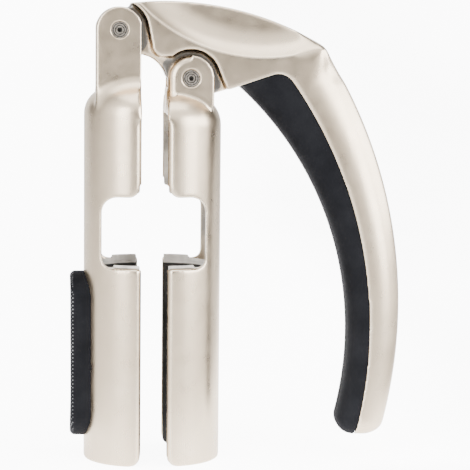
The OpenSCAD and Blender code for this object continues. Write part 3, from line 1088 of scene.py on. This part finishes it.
@dataclass
class Casting:
    """A casting: its solid's own shape, with round walls made true and edges tumbled soft."""

    node: str
    body: Body
    slot: Slot
    faces: list[Face]
    voxel: float = 0.475
    passes: int = 16
    crisp: list[Triple] = field(default_factory=list)
    melts: list[Melt] = field(default_factory=list)
    # gives each point's share of painted shade, if any
    painted_shade: Callable[[Array], Array] | None = None
    straight: float | None = None
    merge: float = 0.001
    reach: float = 0.14
    crisp_fade: float = 1.2
    crisp_least: float = 0.04
    worn_depth: float = 0.22
    worn_from: float = 0.15
    split_band: float = 0.15

    def build(self, material: Material) -> Piece:
        """Makes the piece.

        Args:
            material: Its finish.

        Returns:
            The piece, in place of its node.
        """
        piece = self.copied()
        Bench.edit(piece)
        bpy.ops.mesh.select_all(action="SELECT")
        bpy.ops.mesh.remove_doubles(threshold=self.merge * MM)
        Bench.modify(piece, "REMESH", mode="VOXEL", voxel_size=self.voxel * MM, adaptivity=0.0)
        self.true_up(piece)
        self.soften(piece)
        self.melt(piece)
        # notes where painted shade darkens the casting
        if self.painted_shade is not None:
            Bench.note(piece, "painted_shade_share", self.painted_shade(Bench.points(piece)))
        Bench.hold(piece)
        bpy.ops.object.shade_smooth()
        piece.data.materials.clear()
        piece.data.materials.append(material)
        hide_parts(self.node)
        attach(piece, self.body.value)
        return piece

    def copied(self) -> Piece:
        """Copies the node.

        Returns:
            The copy, with a mesh of its own.
        """
        Bench.clear()
        piece = bpy.data.objects.new(f"{self.node}_dressed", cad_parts[self.node].data.copy())
        bpy.context.collection.objects.link(piece)
        return piece

    def true_up(self, piece: Piece) -> None:
        """Seats the points that lie close to a true face onto it.

        Args:
            piece: The piece.
        """
        points = Bench.points(piece)
        for face in self.faces:
            off, seated = face.seat(points)
            share = np.clip((2.0 * self.reach - np.abs(off)) / self.reach, 0.0, 1.0)
            points += (seated - points) * share[:, None]
        Bench.place(piece, points)

    def soften(self, piece: Piece) -> None:
        """Rounds the edges, less so around the pins, and notes how far they wear.

        Args:
            piece: The piece.
        """
        before = Bench.points(piece)
        weight = np.ones(len(before))
        for x, z, r in self.crisp:
            far = np.hypot(before[:, 0] - x, before[:, 2] - z)
            weight = np.minimum(weight, np.clip((far - r) / self.crisp_fade, self.crisp_least, 1.0))
        self.smooth(piece, weight, self.passes)
        lost = np.linalg.norm(Bench.points(piece) - before, axis=1)
        Bench.note(piece, "worn", np.clip(lost / self.worn_depth - self.worn_from, 0.0, 1.0))

    def melt(self, piece: Piece) -> None:
        """Lets parts of the casting run softer, but keeps its split edges straight.

        Args:
            piece: The piece.
        """
        rounded = Bench.points(piece)
        for melt in self.melts:
            self.smooth(piece, melt.share(Bench.points(piece)), melt.passes)
        if self.straight is not None:
            points = Bench.points(piece)
            edge = np.abs(rounded[:, 0] - self.straight) < self.split_band
            points[edge, 0] = rounded[edge, 0]
            Bench.place(piece, points)

    @staticmethod
    def smooth(piece: Piece, weight: Array, passes: int) -> None:
        """Smooths the piece.

        Args:
            piece: The piece.
            weight: How much each point takes part, from 0 to 1.
            passes: How often it is smoothed.
        """
        group = piece.vertex_groups.new(name="soft")
        steps = np.round(weight, 2)
        for level in np.unique(steps[steps > 0.0]):
            group.add(np.flatnonzero(steps == level).tolist(), float(level), "REPLACE")
        Bench.modify(piece, "SMOOTH", factor=0.5, iterations=passes, vertex_group="soft")
        piece.vertex_groups.clear()


@dataclass
class Jaw:
    """A half-round jaw with its two liners.

    The liner has an inner and an outer radius, the dome a height for its centre and a radius, and the crown
    a lift over the dome and a wider round.
    """

    body: Body
    axis: float
    pivot: Pair
    names: tuple[str, str, str]
    tube_r: float = 20.0
    bore_r: float = 17.8
    rim: float = 0.5
    liner: Pair = (16.55, 17.75)
    liner_z: Pair = (0.4, 122.0)
    liner_voxel: float = 0.4
    liner_passes: int = 3
    shoulder_r: float = 6.5
    dome: Pair = (105.7, 28.3)
    dome_from: float = 1.0
    crown: Pair = (0.0, 11.0)
    ear_r: float = 8.2
    sink_r: float = 3.3
    crisp_r: float = 3.9
    blended: bool = False
    split_w: float = 2.0
    split_y: Pair = (12.0, 21.0)
    split_z: Pair = (97.0, 130.0)
    # inset, fade and strength of the painted shade on the tube's inside
    inside_shade_inset: float = 0.6
    inside_shade_fade: float = 0.5
    inside_shade: float = 0.5

    def build(self, nickel: Material, rubber: Material) -> list[Piece]:
        """Makes the jaw's casting and liners.

        Args:
            nickel: Finish of the casting.
            rubber: Finish of the liners.

        Returns:
            The pieces.
        """
        shell, neck, cork = self.names
        walls = [RoundWall(Axis.UPRIGHT, (self.axis, 0.0), r, *self.liner_z) for r in self.liner]
        pieces = [self.casting(shell).build(nickel)]
        for name in (neck, cork):
            lining = Casting(name, self.body, Slot.LINER, walls, self.liner_voxel, self.liner_passes)
            pieces.append(lining.build(rubber))
        return pieces

    def casting(self, node: str) -> Casting:
        """Gives the jaw's casting.

        Args:
            node: Its node.

        Returns:
            The casting with its true faces.
        """
        ring = self.tube_r - self.shoulder_r
        shoulder = self.dome[0] + math.sqrt((self.dome[1] - self.shoulder_r) ** 2 - ring**2)
        centre, pivot = (self.axis, 0.0), self.pivot
        tubes = [RoundWall(Axis.UPRIGHT, centre, r, self.rim, shoulder) for r in (self.tube_r, self.bore_r)]
        top = [TurnedFace(Axis.UPRIGHT, centre, ring, shoulder, self.shoulder_r, shoulder),
               TurnedFace(Axis.UPRIGHT, centre, 0.0, *self.dome, shoulder + self.dome_from)]
        ears = [RoundWall(Axis.FRONT_TO_BACK, pivot, self.ear_r, pivot[1]),
                RoundWall(Axis.FRONT_TO_BACK, pivot, self.sink_r, 0.0)]
        crown = CrownFace(self.axis, self.tube_r, *self.dome, self.shoulder_r, *self.crown)
        faces = [*tubes, *top, *ears, crown]
        if self.blended:
            faces.append(EarBlend(crown, pivot[0] - self.ear_r))
        return Casting(node, self.body, Slot.NICKEL, faces, crisp=[(*pivot, self.crisp_r)],
                       melts=[self.split_edge()], painted_shade=self.painted_shade, straight=self.axis)

    def split_edge(self) -> Melt:
        """Gives the soft stretch of the split edges, from the window up to the crown.

        Returns:
            Its box.
        """
        left, right = self.axis - self.split_w, self.axis + self.split_w
        (near, far), (low, high) = self.split_y, self.split_z
        return Melt((left, near, low), (right, far, high), fade=2.5, passes=40)

    def painted_shade(self, points: Array) -> Array:
        """Gives how much painted shade darkens points on the tube's inside.

        Args:
            points: Points in millimetres.

        Returns:
            A share from 0 to 1 for each.
        """
        # painted shade: the inside of the tube below the dome goes darker
        out = np.hypot(points[:, 0] - self.axis, points[:, 1])
        inside = np.clip((self.tube_r - self.inside_shade_inset - out) / self.inside_shade_fade, 0.0, 1.0)
        return self.inside_shade * inside * (points[:, 2] < self.dome[0])


@dataclass
class Pin:
    """A riveted pivot pin with a ringed, dimpled head at each end.

    The turning lists how far each step lies inside the last, and how much higher it is.
    """

    node: str
    body: Body
    pivot: Pair
    shank_r: float = 2.4
    head_r: float = 3.28
    seat: float = 9.95
    end: float = 10.08
    sides: int = 64
    groove_shade_depth: float = 0.15
    sharp: float = 25.0
    turning: tuple[Pair, ...] = (
        (0.36, 0.0), (0.05, 0.34), (0.42, 0.0), (0.05, -0.34), (0.20, 0.0), (0.05, 0.34), (0.45, 0.0),
        (0.05, -0.34), (0.20, 0.0), (0.05, 0.30), (0.50, 0.0), (0.10, -0.20), (0.30, -0.08))

    @property
    def spot(self) -> Triple:
        """Middle of the pin in metres."""
        return self.pivot[0] * MM, 0.0, self.pivot[1] * MM

    def build(self, material: Material) -> Piece:
        """Makes the pin.

        Args:
            material: Its finish.

        Returns:
            The piece, in place of its node.
        """
        Bench.clear()
        bpy.ops.mesh.primitive_cylinder_add(vertices=self.sides, radius=self.shank_r * MM,
                                            depth=2.0 * self.seat * MM, location=self.spot,
                                            rotation=(math.pi / 2.0, 0.0, 0.0))
        piece = Bench.take(f"{self.node}_dressed")
        Bench.edit(piece)
        for side in (-1.0, 1.0):
            self.upset(side)
        Bench.close_up(piece, self.sharp)
        # painted shade: all but the raised rings of the heads go dark
        deep = np.abs(Bench.points(piece)[:, 1])
        Bench.note(piece, "painted_shade_share", (deep < self.end + self.groove_shade_depth).astype(float))
        piece.data.materials.append(material)
        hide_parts(self.node)
        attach(piece, self.body.value)
        return piece

    def upset(self, side: float) -> None:
        """Spreads one end into its head and turns the rings into it.

        Args:
            side: Which end: -1 at the front, 1 at the back.
        """
        least = self.seat / 2.0 * MM
        Bench.pick(Kind.FACE, lambda f: f.normal.y * side > Bench.FACING
                   and f.calc_center_median().y * side > least)
        grow = self.head_r / self.shank_r
        Bench.extrude(0.0, 0.0, 0.0)
        bpy.ops.transform.resize(value=(grow, 1.0, grow), center_override=self.spot)
        Bench.extrude(0.0, side * (self.end - self.seat), 0.0)
        for width, rise in self.turning:
            Bench.inset(width)
            bpy.ops.transform.translate(value=(0.0, side * rise * MM, 0.0))


@dataclass
class Lever:
    """The squeeze lever: its casting and the rubber grip along its inner edge."""

    lines: LeverLines
    scoop: Pair = (50.6, 50.7)
    scoop_r: float = 59.9
    hollow: float = 14.0
    ridge_w: float = 10.0
    crest_h: float = 70.0
    crisp_r: float = 8.6
    voxel: float = 0.5
    passes: int = 18
    knee_x: Pair = (-7.0, 6.0)
    knee_z: Pair = (-9.0, 2.0)
    knee_y: float = 12.0
    # depth, reach and fade of the painted shade in the pockets
    pocket_shade_depth: float = 0.3
    pocket_shade_reach: float = 1.2
    pocket_shade_fade: Pair = (0.5, 0.6)
    seam_step: float = 0.4
    grip_power: float = 3.2
    ring: int = 44
    nose_from: float = 0.04
    nose_steps: int = 22
    brow_steps: int = 16
    arm_steps: int = 80
    tip_steps: int = 15
    tip_from: float = 0.95
    tip_turn: float = 86.0
    sharp: float = 50.0
    slack: float = 0.001

    def casting(self, material: Material) -> Piece:
        """Makes the metal of the lever.

        Args:
            material: Its finish.

        Returns:
            The piece, in place of its node.
        """
        lines = self.lines
        deep = self.ridge_w / 2.0 + self.hollow
        ring = self.scoop_r - math.sqrt(self.hollow**2 - (deep - lines.head_w / 2.0) ** 2)
        crest, scoop = lines.crest_c, lines.about(*self.scoop)
        faces = [RoundWall(Axis.FRONT_TO_BACK, crest, lines.head_r, crest[1] + self.crest_h), lines,
                 TurnedFace(Axis.FRONT_TO_BACK, scoop, ring, deep, self.hollow, high=deep)]
        pins = [(*lines.pivot, self.crisp_r), (*lines.right_pivot, self.crisp_r)]
        (left, right), (below, above), (x, z) = self.knee_x, self.knee_z, lines.knee
        knee = Melt((x + left, 0.0, z + below), (x + right, self.knee_y, z + above), fade=5.0, passes=200)
        casting = Casting("lever", Body.LEVER, Slot.NICKEL, faces, self.voxel, self.passes, pins, [knee],
                          self.painted_shade)
        return casting.build(material)

    def painted_shade(self, points: Array) -> Array:
        """Gives how much painted shade darkens points on the walls of the pockets.

        Args:
            points: Points in millimetres.

        Returns:
            A share from 0 to 1 for each.
        """
        # painted shade: the recessed pocket walls around the pins go darker
        inner, fade = self.lines.head_w / 2.0 - self.pocket_shade_depth, self.pocket_shade_fade
        deep = np.clip((inner - np.abs(points[:, 1])) / fade[0], 0.0, 1.0)
        share = np.zeros(len(points))
        for x, z in (self.lines.pivot, self.lines.right_pivot):
            left = self.lines.pocket_r + self.pocket_shade_reach - np.hypot(points[:, 0] - x, points[:, 2] - z)
            share = np.maximum(share, np.clip(left / fade[1], 0.0, 1.0))
        return deep * share

    def stations(self) -> list[tuple[Array, Array, float]]:
        """Gives the grip's sections from its nose to its tip.

        Returns:
            For each section its point on the seam, its point on the inner face and half its depth.
        """
        lines = self.lines
        nose, end, brow = lines.grip_nose, lines.brow_end, lines.brow_c
        run = [nose + (end - nose) * u for u in np.linspace(self.nose_from, 1.0, self.nose_steps)]
        start = math.atan2(*(end - brow)[::-1])
        stop = math.atan2(*(brow - lines.seam_c)[::-1])
        run += [brow + lines.brow_r * np.array([math.cos(a), math.sin(a)])
                for a in np.linspace(start, stop, self.brow_steps)[1:-1]]
        first = math.atan2(*(nose - lines.hold_c)[::-1])
        last = math.atan2(*(lines.hold(0.0) - lines.hold_c)[::-1])
        depth = float(lines.half_depth(0.0)) - self.seam_step
        sections = []
        for i, m in enumerate(run):
            a = first + (last - first) * (i + 1) / (len(run) + 1)
            e = lines.hold_c + lines.hold_r * np.array([math.cos(a), math.sin(a)])
            sections.append((m, e, depth))
        for t in np.linspace(0.0, 1.0, self.arm_steps):
            half = float(lines.half_depth(t)) - self.seam_step
            sections.append((lines.seam(t), lines.hold(t), half))
        return sections + self.tip(*sections[-1])

    def tip(self, m: Array, e: Array, half: float) -> list[tuple[Array, Array, float]]:
        """Rounds the grip off below its last section.

        Args:
            m: The last section's point on the seam.
            e: Its point on the inner face.
            half: Half its depth.

        Returns:
            The sections of the round.
        """
        way = self.lines.seam(1.0) - self.lines.seam(self.tip_from)
        way /= math.hypot(*way)
        sections = []
        for a in np.linspace(0.0, math.radians(self.tip_turn), self.tip_steps)[1:]:
            foot, left = m + way * self.lines.tip_len * math.sin(a), math.cos(a)
            sections.append((foot, foot + (e - m) * left, half * left))
        return sections

    def grip(self, material: Material) -> Piece:
        """Sweeps the rubber grip along the arm.

        Args:
            material: Its finish.

        Returns:
            The piece, in place of its node.
        """
        piece = self.section()
        Bench.edit(piece)
        bpy.ops.mesh.select_all(action="SELECT")
        at, wide, deep, angle = np.zeros(2), 1.0, 1.0, 0.0
        for i, (m, e, half) in enumerate(self.stations()):
            if i:
                Bench.extrude(0.0, 0.0, 0.0)
            Bench.turn_about_y(-angle, *at)
            span, lean = math.hypot(*(e - m)), math.atan2(*(e - m)[::-1])
            spot = (at[0] * MM, 0.0, at[1] * MM)
            bpy.ops.transform.resize(value=(span / wide, half / deep, 1.0), center_override=spot)
            Bench.turn_about_y(lean, *at)
            step = (m - at) * MM
            bpy.ops.transform.translate(value=(step[0], 0.0, step[1]))
            at, wide, deep, angle = m, span, half, lean
        Bench.close_up(piece, self.sharp)
        piece.data.materials.append(material)
        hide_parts("lever_grip")
        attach(piece, Body.LEVER.value)
        return piece

    def section(self) -> Piece:
        """Makes the grip's section, a half of a square with round corners.

        Returns:
            A face that is 1 mm wide and 2 mm deep.
        """
        Bench.clear()
        bpy.ops.mesh.primitive_circle_add(vertices=2 * self.ring, radius=MM, fill_type="NOTHING")
        piece = Bench.take("lever_grip_dressed")
        Bench.edit(piece)
        Bench.pick(Kind.POINT, lambda v: v.co.x < -self.slack * MM)
        bpy.ops.mesh.delete(type="VERT")
        bpy.ops.mesh.select_all(action="SELECT")
        bpy.ops.mesh.edge_face_add()
        Bench.clear()
        flat = Bench.points(piece)
        flat[np.abs(flat) < self.slack] = 0.0
        Bench.place(piece, np.sign(flat) * np.abs(flat) ** (2.0 / self.grip_power))
        return piece


@dataclass
class PalmPad:
    """The long rubber pad on the outside of the fixed jaw."""

    width: float = 19.4
    low: float = 8.0
    length: float = 59.8
    face: float = 25.1
    root: float = 12.0
    sides: int = 96
    tube_r: float = 20.05
    tube_sides: int = 256
    tube_z: Pair = (-60.0, 140.0)
    rim: float = 2.0
    rim_steps: int = 6
    rings: tuple[float, ...] = (0.25, 0.8, 1.6, 1.8)
    bands: int = 14
    hollow: float = 0.5
    hollow_fade: float = 2.0
    sharp: float = 50.0
    slack: float = 0.01

    def build(self, material: Material) -> Piece:
        """Makes the pad.

        Args:
            material: Its finish.

        Returns:
            The piece, in place of its node.
        """
        Bench.clear()
        r, deep = self.width / 2.0, self.face - self.root
        spot = (-(self.face - deep / 2.0) * MM, 0.0, (self.low + r) * MM)
        bpy.ops.mesh.primitive_cylinder_add(vertices=self.sides, radius=r * MM, depth=deep * MM,
                                            location=spot, rotation=(0.0, math.pi / 2.0, 0.0))
        piece = Bench.take("palm_pad_dressed")
        Bench.edit(piece)
        Bench.pick(Kind.POINT, lambda v: v.co.z > (self.low + r + self.slack) * MM)
        bpy.ops.transform.translate(value=(0.0, 0.0, (self.length - self.width) * MM))
        self.rims()
        self.dish(piece)
        self.saddle(piece)
        Bench.close_up(piece, self.sharp)
        piece.data.materials.append(material)
        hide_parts("palm_pad")
        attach(piece, Body.FIXED_JAW.value)
        return piece

    @staticmethod
    def pick_front() -> None:
        """Selects the flat outer face."""
        Bench.pick(Kind.FACE, lambda f: f.normal.x < -Bench.FACING)

    def rims(self) -> None:
        """Rounds the outer edge and lays rings and cross lines on the outer face."""
        front = (self.slack - self.face) * MM
        Bench.pick(Kind.EDGE, lambda e: max(v.co.x for v in e.verts) < front)
        bpy.ops.mesh.bevel(offset=self.rim * MM, segments=self.rim_steps, affect="EDGES")
        self.pick_front()
        for width in self.rings:
            Bench.inset(width)
        for i in range(1, self.bands):
            self.pick_front()
            level = (self.low + self.length * i / self.bands) * MM
            bpy.ops.mesh.bisect(plane_co=(0.0, 0.0, level), plane_no=(0.0, 0.0, 1.0))

    def dish(self, piece: Piece) -> None:
        """Hollows the outer face along its length.

        Args:
            piece: The pad.
        """
        Bench.clear()
        points = Bench.points(piece)
        along = (points[:, 2] - self.low) / self.length * 2.0 - 1.0
        near = np.clip((-points[:, 0] - self.face + self.hollow_fade) / self.hollow_fade, 0.0, 1.0)
        points[:, 0] += self.hollow * near * np.maximum(0.0, 1.0 - along**2)
        Bench.place(piece, points)

    def saddle(self, piece: Piece) -> None:
        """Cuts the back of the pad to lie on the tube.

        Args:
            piece: The pad.
        """
        Bench.clear()
        low, high = (z * MM for z in self.tube_z)
        bpy.ops.mesh.primitive_cylinder_add(vertices=self.tube_sides, radius=self.tube_r * MM,
                                            depth=high - low, location=(0.0, 0.0, (low + high) / 2.0))
        tube = Bench.take("saddle_cutter")
        Bench.modify(piece, "BOOLEAN", operation="DIFFERENCE", object=tube, solver="EXACT")
        bpy.data.objects.remove(tube)


class Fittings:
    """The small nodes that keep their own solids: washers, inserts and screws."""

    NYLON = ("left_thrust_washers", "right_thrust_washers")
    PLASTIC = ("grip_core", "palm_pad_core")
    STEEL = ("grip_screws", "palm_pad_screws")

    def dress(self, nylon: Material, plastic: Material, steel: Material) -> list[Piece]:
        """Gives the nodes their finishes.

        Args:
            nylon: Finish of the washers.
            plastic: Finish of the inserts.
            steel: Finish of the screws.

        Returns:
            The nodes.
        """
        dressed = []
        for names, material in ((self.NYLON, nylon), (self.PLASTIC, plastic), (self.STEEL, steel)):
            for name in names:
                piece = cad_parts[name]
                for slot in piece.material_slots:
                    slot.link = "OBJECT"
                    slot.material = material
                dressed.append(piece)
        return dressed


@dataclass(frozen=True)
class Softbox:
    """A softbox with its place, width and height in millimetres and its power in watts."""

    name: str
    spot: Triple
    wide: float
    high: float
    power: float

    def hang(self, aim: Triple) -> None:
        """Hangs the softbox, unseen by the camera.

        Args:
            aim: The point that it lights.
        """
        light = bpy.data.lights.new(self.name, "AREA")
        light.shape = "RECTANGLE"
        light.size, light.size_y, light.energy = self.wide * MM, self.high * MM, self.power
        lamp = bpy.data.objects.new(self.name, light)
        lamp.location = Vector(self.spot) * MM
        lamp.visible_camera = False
        way = Vector(aim) * MM - lamp.location
        lamp.rotation_euler = way.to_track_quat("-Z", "Y").to_euler()
        bpy.context.collection.objects.link(lamp)


@dataclass
class Studio:
    """Pale floor and backdrop, soft light and the camera.

    The tent lists its greys from before the opener, at 0, to behind it, at 1.
    """

    eye: Triple = (-27.5, -703.9, 161.1)
    aim: Triple = (34.45, 0.0, 80.6)
    roll: float = 0.57
    lens: float = 150.9
    sensor: float = 36.0
    floor: float = 3000.0
    wall: float = 1800.0
    bend: float = 600.0
    bend_steps: int = 16
    sharp: float = 60.0
    light: float = 2.2
    tent: tuple[Pair, ...] = ((0.0, 0.08), (0.017, 0.15), (0.05, 0.7), (0.12, 1.0), (0.29, 1.0),
                              (0.43, 0.7), (0.57, 0.3), (0.71, 0.15), (0.84, 0.15), (1.0, 0.4))
    lights: tuple[Softbox, ...] = (
        Softbox("left_softbox", (-563.0, -764.0, 260.0), 420.0, 800.0, 8.0),
        Softbox("right_softbox", (798.0, -597.0, 260.0), 480.0, 800.0, 11.0),
        Softbox("top_softbox", (60.0, -80.0, 900.0), 800.0, 600.0, 6.0),
        Softbox("rim_softbox", (1010.0, 130.0, 350.0), 1100.0, 480.0, 15.0))

    def build(self) -> None:
        """Sets up the floor, the light and the camera."""
        self.backdrop()
        self.sky()
        for softbox in self.lights:
            softbox.hang(self.aim)
        self.camera()

    def backdrop(self) -> None:
        """Makes a floor that curves up into a wall behind the opener."""
        Bench.clear()
        bpy.ops.mesh.primitive_plane_add(size=self.floor * MM, location=(0.0, 0.0, 0.0))
        piece = Bench.take("backdrop")
        Bench.edit(piece)
        back = self.floor / 2.0 * MM - MM
        Bench.pick(Kind.EDGE, lambda e: min(v.co.y for v in e.verts) > back)
        Bench.extrude(0.0, 0.0, self.wall)
        Bench.pick(Kind.EDGE, lambda e: all(v.co.y > back and v.co.z < MM for v in e.verts))
        bpy.ops.mesh.bevel(offset=self.bend * MM, segments=self.bend_steps, affect="EDGES")
        Bench.close_up(piece, self.sharp)
        piece.data.materials.append(PalePaper().material())

    def sky(self) -> None:
        """Surrounds the opener with a white tent that is greyer to the sides and behind."""
        world = bpy.data.worlds.new("tent")
        world.use_nodes = True
        sky = Nodes(world.node_tree)
        shade = next(n for n in sky.tree.nodes if n.type == "BACKGROUND")
        depth = sky.spread(sky.split("Generated")["Y"], 0.0, 1.0, -1.0, 1.0)
        greys = [(place, (value, value, value)) for place, value in self.tent]
        sky.plug(sky.ramp(depth, *greys), shade.inputs["Color"])
        sky.plug(self.light, shade.inputs["Strength"])
        bpy.context.scene.world = world

    def camera(self) -> None:
        """Puts the camera at the photograph's place."""
        data = bpy.data.cameras.new("camera")
        data.lens, data.sensor_width = self.lens, self.sensor
        eye = bpy.data.objects.new("camera", data)
        eye.location = Vector(self.eye) * MM
        way = (Vector(self.aim) - Vector(self.eye)) * MM
        turn = Quaternion((0.0, 0.0, 1.0), math.radians(self.roll))
        eye.rotation_euler = (way.to_track_quat("-Z", "Y") @ turn).to_euler()
        bpy.context.collection.objects.link(eye)
        bpy.context.scene.camera = eye


def main() -> None:
    """Builds the opener piece by piece and sets it in the studio."""
    logging.basicConfig(level=logging.INFO, format="%(message)s")
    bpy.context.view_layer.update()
    nickel, steel = SatinNickel().material(), TurnedSteel().material()
    rubber = SoftRubber().material()
    dotted = SoftRubber("dotted_rubber", dot_pitch=0.95).material()
    lining = SoftRubber("lining_rubber", (0.030, 0.029, 0.028), (0.055, 0.053, 0.050),
                        pale_from=68.2).material()
    plastic = HardPlastic().material()
    nylon = HardPlastic("nylon", (0.72, 0.70, 0.63), (0.80, 0.78, 0.71), (0.35, 0.45)).material()
    lines = LeverLines()
    left = Jaw(Body.FIXED_JAW, 0.0, lines.pivot,
               ("left_shell", "left_neck_liner", "left_cork_liner"), crown=(3.0, 9.5), blended=True)
    right = Jaw(Body.MOVING_JAW, 9.0, lines.right_pivot,
                ("right_shell", "right_neck_liner", "right_cork_liner"))
    lever = Lever(lines)
    pieces = left.build(nickel, lining) + right.build(nickel, lining)
    pieces += [lever.casting(nickel), lever.grip(rubber), PalmPad().build(dotted)]
    pieces += [Pin("left_pivot_pin", Body.FIXED_JAW, lines.pivot).build(steel),
               Pin("right_pivot_pin", Body.MOVING_JAW, lines.right_pivot).build(steel)]
    pieces += Fittings().dress(nylon, plastic, steel)
    for piece in pieces:
        log.info("%s: %d faces", piece.name, len(piece.data.polygons))
    Studio().build()


if __name__ == "__main__":
    main()
